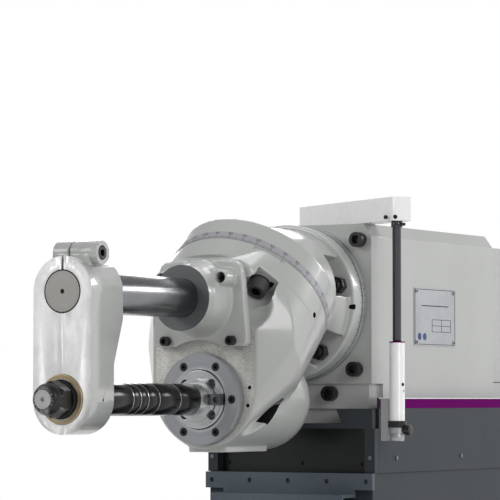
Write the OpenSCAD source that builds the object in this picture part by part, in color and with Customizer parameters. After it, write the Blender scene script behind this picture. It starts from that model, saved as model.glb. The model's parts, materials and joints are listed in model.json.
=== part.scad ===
// Universal milling machine: knee, swivelling table, ram and a head with two swivels.
// Millimetres. +Z is up, the operator stands at -Y, and the origin lies on the floor
// under the spindle axis, in the plane of the column's front face.

/* [Machine] */
// Height of the spindle axis above the floor
spindle_h = 1480; // [1460:5:1520]
// Height of the table top above the floor
table_h = 1060; // [1045:5:1075]
// Running gap between sliding faces
gap = 0.3; // [0.2:0.05:0.4]
// Radial clearance of shafts in their bores
fit = 0.05; // [0.03:0.01:0.08]

/* [Base] */
// Width of the base
base_w = 560; // [520:10:600]
// Length of the base ahead of the column face
base_front = 720; // [700:10:760]
// Length of the base behind the column face
base_rear = 590; // [580:10:640]
// Height of the base
base_h = 110; // [100:5:130]
// Corner radius of the base
base_r = 50; // [30:5:60]
// Depth of the coolant tray in the base
tray_depth = 40; // [30:5:50]
// Wall round the coolant tray
tray_wall = 30; // [20:5:40]
// Diameter of the anchor holes
anchor_d = 18; // [16:1:22]
// Thickness of the anchor lugs
lug_h = 32; // [25:1:40]
// Distance of the anchor holes outside the base's sides
lug_out = 28; // [24:1:36]

/* [Column] */
// Half of the column casting's width
col_hw = 150; // [145:1:155]
// Depth of the column from front to back
col_d = 540; // [520:10:560]
// Wall of the column at the electrics bay
col_wall = 25; // [20:1:30]
// Start of the electrics bay behind the front face
bay_y = 130; // [110:5:160]
// Height of the electrics bay's floor above the base
bay_low = 140; // [120:10:180]
// Height of the electrics bay
bay_h = 1030; // [900:10:1050]
// Half width of the knee way at the column face
way_root = 100; // [90:1:105]
// Half width of the knee way at its front
way_tip = 120; // [115:1:125]
// Depth of the knee way
way_d = 38; // [34:1:42]
// Height of the knee way's top below the spindle axis
way_drop = 155; // [150:5:170]
// Thickness of the sheet panels on the column's sides
panel_t = 4; // [3:0.5:5]
// Thickness of the strip across the column's front
strip_t = 8; // [6:1:10]
// Height of the side panels
panel_h = 119; // [110:1:125]
// Depth of the recess for the front cover
recess_d = 20; // [16:1:24]
// Half width of the front cover
cover_hw = 136; // [130:1:140]

/* [Ram] */
// Half of the ram's width
ram_hw = 134; // [130:1:138]
// Height of the ram's top above the spindle axis
ram_top = 280; // [275:1:285]
// Depth of the ram's bottom below the spindle axis
ram_low = 15; // [12:1:18]
// Distance of the ram plate's front behind the column face
plate_y = 27; // [25:1:40]
// Thickness of the ram plate
plate_t = 38; // [34:1:42]
// Length of the ram's tall body behind the plate
ram_len = 396; // [380:4:420]
// Half width of the ram's dovetail at its waist
tail_waist = 84; // [80:1:88]
// Half width of the ram's dovetail at its foot
tail_foot = 95; // [92:1:99]
// Depth of the ram's dovetail
tail_d = 23; // [20:1:26]
// Length of the ram's dovetail
tail_len = 594; // [580:2:596]
// Radius of the bore along the ram
ram_bore_r = 78; // [70:1:80]
// Travel of the ram
ram_travel = 400; // [300:10:420]

/* [Gearbox and motor] */
// Half of the gearbox's width
box_hw = 118; // [112:1:124]
// Length of the gearbox
box_len = 170; // [160:5:190]
// Radius of the motor body
motor_r = 98; // [90:1:104]
// Length of the motor body
motor_len = 250; // [220:5:280]
// Gear module of the motor gears
gear_m = 2; // [2:0.5:2]
// Teeth of the motor pinion
pinion_n = 16; // [14:1:18]
// Teeth of the wheel on the drive shaft
wheel_n = 48; // [46:1:52]

/* [Rear swivel] */
// Height of the swivel axis above the spindle axis
swivel_rise = 154; // [150:1:158]
// Radius of the upright flange
flange_r = 125; // [120:1:128]
// Thickness of the upright flange
flange_t = 30; // [26:1:36]
// Thickness of the graduated ring on the ram plate
ring_t = 12; // [10:1:14]
// Distance from the upright flange's face to the slanted joint's centre
neck_len = 151.5; // [148:0.5:156]
// Radius of the slanted joint
seam_r = 132.5; // [130:0.5:136]
// Width of the graduated band behind the slanted joint
band_w = 46; // [42:1:50]

/* [Head] */
// Distance from the slanted joint's centre to the head's front face
head_reach = 122.5; // [120:0.5:126]
// Half width of the head's front face
face_hw = 93; // [90:1:96]
// Height of the front face's lower arc centre above the spindle axis
face_rise = 18; // [14:1:22]
// Radius of the spindle housing
housing_r = 79; // [76:1:82]
// Length of the spindle housing behind the front face
housing_len = 164; // [160:1:168]
// Radius of the bearing cover
cover_r = 70; // [67:1:73]
// Thickness of the bearing cover
cover_t = 15; // [12:1:18]
// Radius of the bearing seats in the head
seat_r = 55; // [52:1:58]

/* [Spindle and arbor] */
// Radius of the spindle nose
nose_r = 44.45; // [43:0.05:45]
// How far the spindle nose stands out of the head's front face
nose_out = 19; // [16:1:22]
// Radius of the spindle shaft
shaft_r = 33; // [30:1:36]
// Pitch circle of the threaded holes in the nose
nose_pcd = 66.7; // [65:0.1:68]
// Diameter of the threaded holes in the nose
nose_hole_d = 14; // [12:0.5:14]
// Mouth radius of the spindle taper
taper_r = 22.225; // [21:0.005:23]
// Length of the spindle taper
taper_len = 65; // [60:1:70]
// Width of the drive keys
key_w = 15.9; // [15:0.1:16.5]
// Radius of the arbor's flange
arbor_flange_r = 31.5; // [30:0.5:32]
// Radius of the arbor
arbor_r = 13.5; // [12:0.5:14]
// Radius of the spacing collars
spacer_r = 24; // [22:0.5:24]
// Radius of the arbor's running journal
journal_r = 24.5; // [24.5:0.1:26]
// Width of the arbor nut across its flats
nut_af = 46; // [41:1:48]

/* [Overarm and support] */
// Height of the overarm above the spindle axis
bar_rise = 153; // [150:1:156]
// Radius of the overarm bar
bar_r = 30; // [28:0.5:32]
// Free length of the overarm bar ahead of its bracket
bar_reach = 314; // [300:2:320]
// Radius of the bracket's boss
boss_r = 50; // [47:1:52]
// Height of the bracket's boss above its plate
boss_t = 52; // [48:1:56]
// Thickness of the bracket's plate
bracket_t = 15; // [13:1:18]
// Radius of the arbor support's rounded ends
sup_r = 50; // [48:1:52]
// Thickness of the arbor support at the overarm
sup_t = 80; // [76:1:84]
// Thickness of the arbor support at the arbor
sup_low_t = 57; // [54:1:60]
// Outer radius of the support's bush
bush_r = 35.5; // [34:0.5:37]

/* [Knee and saddle] */
// Half of the knee's width
knee_hw = 165; // [160:1:170]
// Length of the knee
knee_len = 700; // [690:5:720]
// Height of the knee's box
knee_h = 310; // [300:5:320]
// Wall of the knee
knee_wall = 24; // [20:1:28]
// Travel of the knee upwards from rest
knee_up = 310; // [250:5:315]
// Travel of the knee downwards from rest
knee_down = 60; // [40:5:60]
// Half width of the saddle way at its foot
cross_root = 100; // [95:1:104]
// Half width of the saddle way at its top
cross_tip = 115; // [110:1:118]
// Height of the saddle way
cross_h = 28; // [24:1:32]
// Half of the saddle's width
saddle_hw = 190; // [180:2:200]
// Length of the saddle along its way
saddle_len = 300; // [280:5:310]
// Height of the saddle
saddle_h = 100; // [95:1:105]
// Distance of the table's middle ahead of the column face
table_y = 290; // [286:1:300]

/* [Table] */
// Length of the table
table_len = 1120; // [1050:10:1200]
// Width of the table
table_w = 260; // [250:2:280]
// Thickness of the table's slab
slab_t = 55; // [50:1:60]
// Width of the table slots
slot_w = 14; // [12:1:16]
// Distance between the table slots
slot_pitch = 63; // [60:1:70]
// Height of the table's dovetail
dove_h = 25; // [22:1:28]
// Half width of the table's dovetail at its root
dove_root = 70; // [66:1:74]
// Half width of the table's dovetail at its foot
dove_foot = 84; // [80:1:88]
// Half length of the swivel block under the table
swiv_hl = 230; // [220:2:250]
// Half width of the swivel block
swiv_hw = 118; // [112:1:122]
// Radius of the swivel disc
swiv_r = 135; // [128:1:140]
// Thickness of the swivel disc
swiv_t = 20; // [18:1:24]
// Thickness of the table's end brackets
end_t = 40; // [36:1:46]

/* [Screws and wheels] */
// Radius of the table and saddle screws
screw_r = 11; // [10:0.5:12]
// Radius of the knee screw
lift_r = 20; // [18:0.5:22]
// Radius of the handwheels
wheel_r = 80; // [70:1:85]
// Radius of the knee crank
crank_r = 120; // [110:1:130]
// Radius of the grips on wheels and cranks
grip_r = 11; // [9:0.5:13]

/* [Guard] */
// Distance of the guard post to the side of the spindle axis
post_x = 190; // [188:1:196]
// Width of the guard arm
arm_w = 35; // [32:1:38]
// Height of the guard arm
arm_h = 38; // [34:1:42]
// Radius of the guard rod
rod_r = 7; // [6:0.5:8]
// Radius of the guard tube
tube_r = 12; // [11:0.5:13]
// Length of the guard tube
tube_len = 132; // [120:2:140]

/* [Hidden] */
$fn = 64;

paint = "#d6d6cf";
slate = "#4b5157";
black = "#1c1d1f";
steel = "#b9bbbd";
dark_steel = "#5c5f62";
bronze = "#b08a4a";
iron = "#a3a096";
white = "#f0f0ee";
red = "#c02020";
green = "#1f8a3b";
alloy = "#c9ccce";

// Heights above the floor
swivel_z = spindle_h + swivel_rise;
rail_z = spindle_h - ram_low;
roof_z = spindle_h + ram_top;
way_top_z = spindle_h - way_drop;
slab_z = table_h - slab_t;
dove_z = slab_z - dove_h;
swivel_top_z = slab_z - gap;
swivel_floor_z = dove_z - gap;
block_t = 30;
disc_top_z = swivel_floor_z - block_t;
disc_z = disc_top_z - swiv_t;
saddle_top_z = disc_z - gap;
knee_top_z = saddle_top_z - saddle_h + cross_h;
knee_deck_z = knee_top_z - cross_h;
knee_low_z = knee_deck_z - knee_h;
tray_z = base_h - tray_depth;

// Places along the machine, behind the column face
flange_y = plate_y - ring_t;
seam_y = flange_y - neck_len;
face_y = seam_y - head_reach;
nose_y = face_y - nose_out;
bracket_y = face_y - bracket_t;
boss_y = bracket_y - boss_t;
front_y = boss_y - bar_reach;
ram_end_y = plate_y + plate_t + ram_len;
box_end_y = ram_end_y + box_len;
housing_y = face_y + housing_len;
tail_y = plate_y + 8;

// Screw axes
table_screw_z = dove_z + screw_r + 1;
cross_screw_z = knee_deck_z - 5;
lift_y = -250;
crank_z = knee_deck_z - 205;
mitre_r = 32;
motor_z = swivel_z - gear_m * (pinion_n + wheel_n) / 2;

// Guard places
pivot_x = -30;
pivot_y = plate_y + 108;
post_y = plate_y - 19;
arm_z = roof_z + gap;
tube_top_z = spindle_h + 90;
tube_low_z = tube_top_z - tube_len;

// Column details
door_hinge_z = [420, 1080];
door_pin_x = col_hw - 8;
door_pin_y = col_d + 14;
door_z0 = base_h + bay_low - 12;
door_z1 = door_z0 + bay_h + 24;
latch_x = -col_hw + 45;
latch_z = 760;
// Pinion under the ram's dovetail, which is still on it with the ram at the end of its travel
rack_y = tail_y + tail_len - ram_travel - 29;
rack_r = 19.5;
rack_z = rail_z - tail_d - rack_r - 0.5;

// Electrical board in the column's bay, its relays, fuses, coil and terminal rail
board_low = 150;
board_free = 330;
board_side = 15;
board_t = 3;
relay_pitch = 50;
relay_drop = 60;
relay_h = 80;
relay_d = 70;
fuse_pitch = 38;
fuse_drop = 210;
fuse_h = 70;
fuse_d = 60;
coil_w = 120;
coil_d = 78;
coil_up = 60;
rail_drop = 400;
rail_h = 20;
rail_w = 30;

// How far the knee crank stands out of the knee, and the motor shaft into the gearbox
crank_reach = 60;
motor_reach = 74;

// Control box on the column's left side, on a bracket
box_gap = 6;
box_w = 98;
box_d = 120;
box_h = 210;
box_wall = 3;
box_x = -col_hw - box_gap - box_w;
box_y = 110;
box_z0 = spindle_h - 400;
button_x = box_x + 52;
button_r = 11;

// Locks
lock_y = -22;
lock_z = knee_deck_z - 120;
clamp_x = 150;
clamp_z = disc_top_z + 24;

// Screws of the ram plate as distances from the spindle axis
plate_screws = [[-113.5, 254], [113.5, 254], [-107, 48], [107, 48], [-60, 9.6], [60, 9.6]];

// Speed lever on the gearbox
speed_y = ram_end_y + 50;
speed_z = roof_z - 80;

// Bevel gears at the swivels: pitch radii, half cone angle, distances from their apex
joint_gear_r = 46;
cone_half = 67.5;
cone_d = joint_gear_r / tan(cone_half) + 0.3;
low_gear_r = 24;
low_cone_d = low_gear_r / tan(cone_half) + 0.3;

// Nuts that clamp the upright flange
nut_angles = [75, 140, 220, 285];
nut_seat_y = flange_y - flange_t + 1;
nut_pcr = 103;

// Spur gears in the head
head_m = 2.5;
spindle_n = 40;
counter_n = 50;
counter_rise = head_m * (spindle_n + counter_n) / 2;
counter_z = spindle_h + counter_rise;
apex_s = (swivel_rise - counter_rise) * sqrt(2);
apex_y = seam_y - (swivel_rise - counter_rise);
gear_y0 = face_y + 45;
gear_w = 14;

// Bolts that clamp the slanted joint, in its local frame
clamp_pcr = 105;
clamp_angles = [45, 135, 225, 315];
clamp_s = 40;
scoop_r = 26;
// Start of the web that carries the slanted shaft, along the slanted axis
web_s = cone_d + 10;

// Screws of the overarm bracket as distances from the spindle axis
low_screw = [58.5, 89];
top_screw = [53, 184];
pad_t = 8;

// Arbor, its collars and its support
nut_t = 32;
journal_y = front_y - 8;
spacer_lengths = [55, 58, 30, 20, 20];
spacer_gap = 0.15;
lug_z = spindle_h + bar_rise + 55;
lug_y = front_y + 33;

// From the guard arm's pivot to its post
arm_dx = post_x - pivot_x;
arm_dy = post_y - pivot_y;
arm_len = sqrt(arm_dx * arm_dx + arm_dy * arm_dy);
arm_angle = atan2(arm_dy, arm_dx);

// A cylinder along X, Y or Z between two ordinates
module along_x(x0, x1, r, y = 0, z = 0) {
    translate([x0, y, z]) rotate([0, 90, 0]) cylinder(r = r, h = x1 - x0);
}
module along_y(y0, y1, r, x = 0, z = 0) {
    translate([x, y0, z]) rotate([-90, 0, 0]) cylinder(r = r, h = y1 - y0);
}
module along_z(z0, z1, r, x = 0, y = 0) {
    translate([x, y, z0]) cylinder(r = r, h = z1 - z0);
}

// A box between two corners
module block(a, b) {
    translate(a) cube([b[0] - a[0], b[1] - a[1], b[2] - a[2]]);
}

// A block with upright edges rounded by true arcs
module rounded_block(a, b, r) {
    block([a[0] + r, a[1], a[2]], [b[0] - r, b[1], b[2]]);
    block([a[0], a[1] + r, a[2]], [b[0], b[1] - r, b[2]]);
    for (x = [a[0] + r, b[0] - r], y = [a[1] + r, b[1] - r]) along_z(a[2], b[2], r, x, y);
}

// Lays a drawing whose x is the machine's X and whose y is height along the machine's Y
module extrude_y(y0, y1) {
    translate([0, y1, 0]) rotate([90, 0, 0]) linear_extrude(y1 - y0) children();
}

// Lays a drawing whose x is the machine's Y and whose y is height along the machine's X
module extrude_x(x0, x1) {
    translate([x0, 0, 0]) rotate([90, 0, 90]) linear_extrude(x1 - x0) children();
}

// Local frame of the slanted joint: its Z points forwards and down, its Y forwards and up
module on_slant() {
    translate([0, seam_y, swivel_z]) rotate([135, 0, 0]) children();
}

// A socket cap screw that points along -Z, with its head's foot at the origin
module cap_screw(d, len) {
    difference() {
        union() {
            cylinder(d = 1.5 * d, h = d, $fn = 32);
            translate([0, 0, -len]) cylinder(d = d, h = len + 0.1, $fn = 32);
        }
        translate([0, 0, d * 0.45]) cylinder(d = 0.92 * d, h = d, $fn = 6);
    }
}

// The same screw along Y, entering backwards from its head's foot at y
module cap_screw_y(d, len, x, y, z) {
    translate([x, y, z]) rotate([90, 0, 0]) cap_screw(d, len);
}

// Hexagon across flats af, along Z
module hexagon(af, h) {
    cylinder(r = af / sqrt(3), h = h, $fn = 6);
}

// Outline of a spur gear with straight-sided teeth
module gear_outline(n, m) {
    r = n * m / 2;
    step = 360 / n;
    polygon([for (i = [0 : n - 1], k = [[-0.30, -1.25], [-0.13, 0.8], [0.13, 0.8], [0.30, -1.25]])
        let (a = (i + k[0]) * step, q = r + k[1] * m) [q * cos(a), q * sin(a)]]);
}

// A bevel wheel with its big end at the origin and its apex on +Z, grooved for its teeth
module bevel(r, half, face, bore, teeth) {
    drop = face * cos(half);
    small = r - face * sin(half);
    difference() {
        union() {
            cylinder(r1 = r, r2 = small, h = drop);
            translate([0, 0, -8]) cylinder(r = r, h = 8);
        }
        for (i = [0 : teeth - 1]) rotate([0, 0, i * 360 / teeth]) translate([r, 0, 0])
            rotate([0, -half, 0]) translate([-1.6, -1, -12]) cube([4, 2, face + 24]);
        translate([0, 0, -9]) cylinder(r = bore, h = drop + 10);
    }
}

// A dished handwheel on +Z with rim, hub and three spokes
module handwheel(r, bore) {
    difference() {
        union() {
            rotate_extrude() translate([r - 8, 10]) circle(r = 8, $fn = 32);
            cylinder(r = 20, h = 26);
            for (a = [0, 120, 240]) rotate([0, 0, a]) translate([10, -8, 5]) cube([r - 16, 16, 9]);
        }
        translate([0, 0, -1]) cylinder(r = bore, h = 30);
    }
}

// A turned grip on +Z
module grip(r, len) {
    rotate_extrude($fn = 32) polygon([[0, 0], [r * 0.7, 0], [r * 0.7, 4], [r, 12], [r * 0.85, len * 0.5],
        [r * 1.05, len - 8], [r * 0.8, len], [0, len]]);
}

module base() {
    out = base_w / 2 + lug_out;
    color(slate) difference() {
        union() {
            rounded_block([-base_w / 2, -base_front, 0], [base_w / 2, base_rear, base_h], base_r);
            for (s = [-1, 1], y = [-base_front + 90, base_rear - 90]) {
                along_z(0, lug_h, 28, s * out, y);
                block([s * out - (s > 0 ? 60 : 0), y - 28, 0], [s * out + (s > 0 ? 0 : 60), y + 28, lug_h]);
            }
        }
        rounded_block([-base_w / 2 + tray_wall, -base_front + tray_wall, tray_z],
            [base_w / 2 - tray_wall, -tray_wall, base_h + 1], 20);
        for (s = [-1, 1], y = [-base_front + 90, base_rear - 90])
            along_z(-1, lug_h + 1, anchor_d / 2, s * out, y);
    }
}

module column() {
    bay_z = base_h + bay_low;
    recess_z = rail_z - tail_d - 8;
    color(slate) difference() {
        union() {
            block([-col_hw, 0, base_h], [col_hw, col_d, rail_z]);
            block([-col_hw - panel_t, 0, spindle_h - panel_h + 3], [col_hw + panel_t, 14 - gap, recess_z]);
            rounded_block([-col_hw - 35, 0, base_h], [col_hw + 35, col_d + 20, base_h + 40], 18);
            translate([0, 0, base_h + 50]) linear_extrude(way_top_z - base_h - 50)
                polygon([[-way_root, 1], [-way_root, 0], [-way_tip, -way_d], [way_tip, -way_d],
                    [way_root, 0], [way_root, 1]]);
            for (z = door_hinge_z) {
                block([door_pin_x - 9, col_d - 1, z - 12], [door_pin_x + 9, door_pin_y, z]);
                along_z(z - 12, z, 9, door_pin_x, door_pin_y);
                along_z(z - 1, z + 30, 4, door_pin_x, door_pin_y);
            }
        }
        translate([0, -1, 0]) extrude_y(0, col_d + 3) polygon([
            [-tail_waist - gap, rail_z + 1], [-tail_waist - gap, rail_z],
            [-tail_foot - gap, rail_z - tail_d - gap], [tail_foot + gap, rail_z - tail_d - gap],
            [tail_waist + gap, rail_z], [tail_waist + gap, rail_z + 1]]);
        block([-col_hw + col_wall, bay_y, bay_z], [col_hw - col_wall, col_d + 1, bay_z + bay_h]);
        block([-cover_hw, -1, spindle_h - panel_h + 3], [cover_hw, recess_d, recess_z]);
        along_x(-col_hw - 1, -tail_foot + 30, 12 + fit, rack_y, rack_z);
        along_x(-tail_foot + 29, -tail_foot + 61, rack_r + 1.5, rack_y, rack_z);
    }
}

module side_panels() {
    color(slate) for (s = [-1, 1]) difference() {
        block([s > 0 ? col_hw : -col_hw - panel_t, 14, spindle_h + 3 - panel_h],
            [s > 0 ? col_hw + panel_t : -col_hw, col_d, spindle_h + 3]);
        along_x(-col_hw - 10, -col_hw + 10, 24, rack_y, rack_z);
    }
}

module front_cover() {
    low = spindle_h - panel_h + 3;
    top = rail_z - tail_d - 8;
    color(black) difference() {
        block([-cover_hw, recess_d - 3, low], [cover_hw, recess_d, top]);
        for (x = [-0.9, 0.1, 0.9]) along_y(recess_d - 4, recess_d + 1, 3, x * cover_hw, low + 14);
    }
}

module way_apron() {
    top = spindle_h - panel_h + 2.5;
    color(slate) difference() {
        union() {
            block([-col_hw - panel_t, -strip_t, top - 26], [col_hw + panel_t, 0, top]);
            block([-way_tip, -strip_t, way_top_z + gap], [way_tip, 0, top - 25]);
            block([-way_tip, -way_d - 8, way_top_z + gap], [way_tip, 0, way_top_z + 6]);
            block([-way_tip, -way_d - 8, top - 150], [way_tip, -way_d - 3, way_top_z + 6]);
        }
        for (i = [-2 : 2]) along_y(-strip_t - 1, -strip_t + 5, 4, i * 71, top - 13);
    }
}

module base_nut() {
    top = knee_low_z + 8;
    color(iron) difference() {
        union() {
            along_z(tray_z, top, 45, 0, lift_y);
            along_z(tray_z, tray_z + 20, 75, 0, lift_y);
        }
        along_z(tray_z + 1, tray_z + knee_down + knee_up + 8, 27, 0, lift_y);
        along_z(tray_z + 2, top + 1, lift_r + fit, 0, lift_y);
    }
}

module electrics() {
    y = bay_y;
    z0 = base_h + bay_low + board_low;
    z1 = z0 + bay_h - board_free;
    half = col_hw - col_wall - board_side;
    relays = half - board_side;
    color(alloy) block([-half, y, z0], [half, y + board_t, z1]);
    color(black) {
        for (i = [0 : 3]) translate([-relays + i * relay_pitch, y, z1 - relay_drop - relay_h])
            cube([relay_pitch - 10, relay_d, relay_h]);
        for (i = [0 : 4]) translate([-relays + i * fuse_pitch, y, z1 - fuse_drop - fuse_h])
            cube([fuse_pitch - 8, fuse_d, fuse_h]);
        translate([-coil_w / 2, y, z0 + coil_up]) cube([coil_w, coil_d, coil_w]);
        translate([-relays, y, z1 - rail_drop - rail_h]) cube([2 * relays, rail_w, rail_h]);
    }
}

module control_box() {
    color(paint) difference() {
        union() {
            block([box_x, box_y, box_z0], [box_x + box_w, box_y + box_d, box_z0 + box_h]);
            block([box_x + box_w - 1, box_y + 20, box_z0 + 20],
                [-col_hw, box_y + box_d - 20, box_z0 + box_h - 20]);
        }
        block([box_x + box_wall, box_y + box_wall, box_z0 + box_wall],
            [box_x + box_w - box_wall, box_y + box_d - box_wall, box_z0 + box_h - box_wall]);
        for (z = [55, 105]) along_y(box_y - 1, box_y + box_wall + 1, button_r + gap, button_x, box_z0 + z);
        along_y(box_y - 1, box_y + box_wall + 1, 8 + fit, button_x, box_z0 + box_h - 50);
    }
}
module main_switch() {
    color(red) {
        along_y(box_y - 8, box_y - gap, 24, button_x, box_z0 + box_h - 50);
        along_y(box_y - 9, box_y + 30, 8, button_x, box_z0 + box_h - 50);
        block([button_x - 6, box_y - 24, box_z0 + box_h - 72],
            [button_x + 6, box_y - 7, box_z0 + box_h - 28]);
    }
}
module button(z) {
    along_y(box_y - 10, box_y + 12, button_r, button_x, box_z0 + z);
    along_y(box_y + 11, box_y + 16, button_r + 3, button_x, box_z0 + z);
}
module start_button() {
    color(green) button(105);
}
module stop_button() {
    color(red) button(55);
}

module rear_door() {
    y0 = col_d + gap;
    color(slate) difference() {
        union() {
            block([-col_hw + 12, y0, door_z0], [door_pin_x - 14, y0 + 3, door_z1]);
            for (z = [0, 1]) block([-col_hw + 12, y0 + 2, z > 0 ? door_z1 - 3 : door_z0],
                [door_pin_x - 14, y0 + 14, z > 0 ? door_z1 : door_z0 + 3]);
            for (z = door_hinge_z) {
                along_z(z + gap, z + 28, 9, door_pin_x, door_pin_y);
                block([door_pin_x - 20, door_pin_y - 4, z + gap], [door_pin_x - 5, door_pin_y + 2, z + 28]);
                block([door_pin_x - 20, y0, z + gap], [door_pin_x - 14, door_pin_y + 2, z + 28]);
            }
        }
        for (z = door_hinge_z) along_z(z, z + 29, 4 + fit, door_pin_x, door_pin_y);
        along_y(y0 - 1, y0 + 4, 8 + fit, latch_x, latch_z);
    }
}
module door_latch() {
    y0 = col_d + gap;
    color(black) {
        along_y(y0 + 3 + gap, y0 + 14, 16, latch_x, latch_z);
        along_y(y0 - 14, y0 + 4, 8, latch_x, latch_z);
        block([latch_x - 6, y0 + 13, latch_z - 45], [latch_x + 6, y0 + 24, latch_z + 10]);
    }
}

module knee() {
    front = -knee_len;
    color(slate) difference() {
        union() {
            block([-knee_hw, front, knee_low_z], [knee_hw, -gap, knee_deck_z]);
            extrude_y(front, -60) polygon([[-cross_root, knee_deck_z - 1], [-cross_root, knee_deck_z],
                [-cross_tip, knee_top_z], [cross_tip, knee_top_z], [cross_root, knee_deck_z],
                [cross_root, knee_deck_z - 1]]);
            along_y(front - 12, front + 1, 36, 0, cross_screw_z);
            along_y(front - 12, front + 1, 32, 0, crank_z);
        }
        translate([0, 0, knee_low_z - 1]) linear_extrude(knee_h + cross_h + 2) polygon([
            [-way_root - gap, 1], [-way_root - gap, 0], [-way_tip - gap, -way_d - gap],
            [way_tip + gap, -way_d - gap], [way_root + gap, 0], [way_root + gap, 1]]);
        block([-knee_hw + knee_wall, front + knee_wall, knee_low_z - 1],
            [knee_hw - knee_wall, -way_d - 2 * knee_wall, knee_deck_z - 50]);
        block([-22, front + knee_wall, cross_screw_z - 20], [22, -60 - 10, knee_top_z + 1]);
        along_y(front - 13, front + knee_wall + 1, screw_r + fit, 0, cross_screw_z);
        along_y(front - 13, front + knee_wall + 1, 12 + fit, 0, crank_z);
        along_z(knee_deck_z - 51, cross_screw_z - 19, 14 + fit, 0, lift_y);
        along_x(knee_hw - 30, knee_hw + 1, 8 + fit, lock_y, lock_z);
    }
}

module knee_screw() {
    top = knee_deck_z - 50;
    color(dark_steel) {
        along_z(tray_z + knee_down + 5, top - gap, lift_r, 0, lift_y);
        along_z(top - 1, top + 20, 14, 0, lift_y);
        translate([0, lift_y, crank_z + mitre_r + 0.25]) rotate([180, 0, 0])
            bevel(mitre_r, 45, 10, lift_r - 1, 20);
    }
}

module knee_crank() {
    y = -knee_len - crank_reach;
    color(steel) {
        along_y(y, lift_y - mitre_r + 6, 12, 0, crank_z);
        translate([0, lift_y - mitre_r - 0.25, crank_z]) rotate([-90, 0, 0]) bevel(mitre_r, 45, 10, 10, 20);
        along_y(y, y + 16, 18, 0, crank_z);
        block([-11, y, crank_z - crank_r + 20], [11, y + 14, crank_z]);
        along_y(y, y + 14, 14, 0, crank_z - crank_r + 20);
    }
    color(black) translate([0, y, crank_z - crank_r + 20]) rotate([90, 0, 0]) grip(grip_r, 90);
}

module knee_lock() {
    color(black) {
        along_x(knee_hw - 28, knee_hw + 20, 8, lock_y, lock_z);
        along_x(knee_hw + gap, knee_hw + 20, 14, lock_y, lock_z);
        translate([knee_hw + 15, lock_y, lock_z]) rotate([55, 0, 0]) {
            cylinder(r = 6, h = 100);
            translate([0, 0, 104]) sphere(r = 13);
        }
    }
}

module saddle() {
    y0 = -table_y - saddle_len / 2;
    y1 = -table_y + saddle_len / 2;
    color(paint) difference() {
        block([-saddle_hw, y0, knee_deck_z + gap], [saddle_hw, y1, saddle_top_z]);
        extrude_y(y0 - 1, y1 + 1) polygon([[-cross_root - gap, knee_deck_z - 1],
            [-cross_root - gap, knee_deck_z], [-cross_tip - gap, knee_top_z + gap],
            [cross_tip + gap, knee_top_z + gap], [cross_root + gap, knee_deck_z],
            [cross_root + gap, knee_deck_z - 1]]);
        along_z(saddle_top_z - 24, saddle_top_z + 1, 30 + fit, 0, -table_y);
    }
    color(bronze) difference() {
        block([-17, -table_y - 30, cross_screw_z - 17], [17, -table_y + 30, knee_top_z + gap + 1]);
        along_y(-table_y - 31, -table_y + 31, screw_r + fit, 0, cross_screw_z);
    }
}

module saddle_screw() {
    color(dark_steel) along_y(-knee_len - 42, -75, screw_r, 0, cross_screw_z);
}

module saddle_wheel() {
    y = -knee_len - 12 - gap;
    translate([0, y, cross_screw_z]) rotate([90, 0, 0]) {
        color(steel) handwheel(wheel_r, screw_r + fit);
        color(black) rotate([0, 0, 40]) translate([wheel_r - 8, 0, 17]) grip(grip_r, 75);
    }
}

module swivel_base() {
    y = -table_y;
    color(paint) difference() {
        union() {
            along_z(disc_z, disc_top_z, swiv_r, 0, y);
            block([-swiv_hl, y - swiv_hw, disc_top_z], [swiv_hl, y + swiv_hw, swivel_top_z]);
            along_z(disc_z - 20, disc_z, 30, 0, y);
        }
        extrude_x(-swiv_hl - 1, swiv_hl + 1) polygon([[y - dove_root - gap, slab_z + 1],
            [y - dove_root - gap, slab_z], [y - dove_foot - gap, swivel_floor_z],
            [y + dove_foot + gap, swivel_floor_z], [y + dove_root + gap, slab_z],
            [y + dove_root + gap, slab_z + 1]]);
        along_y(y - swiv_hw - 1, y - swiv_hw + 20, 7 + fit, clamp_x, clamp_z);
    }
    color(bronze) difference() {
        block([-40, y - 16, swivel_floor_z - 1], [40, y + 16, table_screw_z + screw_r + 5]);
        along_x(-41, 41, screw_r + fit, y, table_screw_z);
    }
}

module table_lock() {
    y = -table_y - swiv_hw;
    color(black) {
        along_y(y - 36, y + 18, 7, clamp_x, clamp_z);
        along_y(y - 36, y - 22, 12, clamp_x, clamp_z);
        along_x(clamp_x, clamp_x + 62, 5, y - 29, clamp_z);
        translate([clamp_x + 66, y - 29, clamp_z]) sphere(r = 10);
    }
}

module table() {
    y = -table_y;
    hl = table_len / 2;
    neck = 12;
    foot_w = slot_w + 9;
    foot_h = 11;
    color(iron) difference() {
        union() {
            block([-hl, y - table_w / 2, slab_z], [hl, y + table_w / 2, table_h]);
            extrude_x(-hl, hl) polygon([[y - dove_root, slab_z + 1], [y - dove_root, slab_z],
                [y - dove_foot, dove_z], [y + dove_foot, dove_z], [y + dove_root, slab_z],
                [y + dove_root, slab_z + 1]]);
        }
        block([-hl - 1, y - 21, dove_z - 1], [hl + 1, y + 21, table_screw_z + screw_r + 12]);
        for (i = [-1 : 1]) {
            block([-hl - 1, y + i * slot_pitch - slot_w / 2, table_h - neck],
                [hl + 1, y + i * slot_pitch + slot_w / 2, table_h + 1]);
            block([-hl - 1, y + i * slot_pitch - foot_w / 2, table_h - neck - foot_h],
                [hl + 1, y + i * slot_pitch + foot_w / 2, table_h - neck]);
        }
    }
}

module table_brackets() {
    y = -table_y;
    hl = table_len / 2;
    color(paint) for (s = [0, 1]) mirror([s, 0, 0]) difference() {
        union() {
            block([hl, y - 70, dove_z - 12], [hl + end_t, y + 70, table_h - 26]);
            along_x(hl + end_t - 1, hl + end_t + 8, 34, y, table_screw_z);
        }
        along_x(hl - 1, hl + end_t + 9, screw_r + fit, y, table_screw_z);
    }
}

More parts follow.
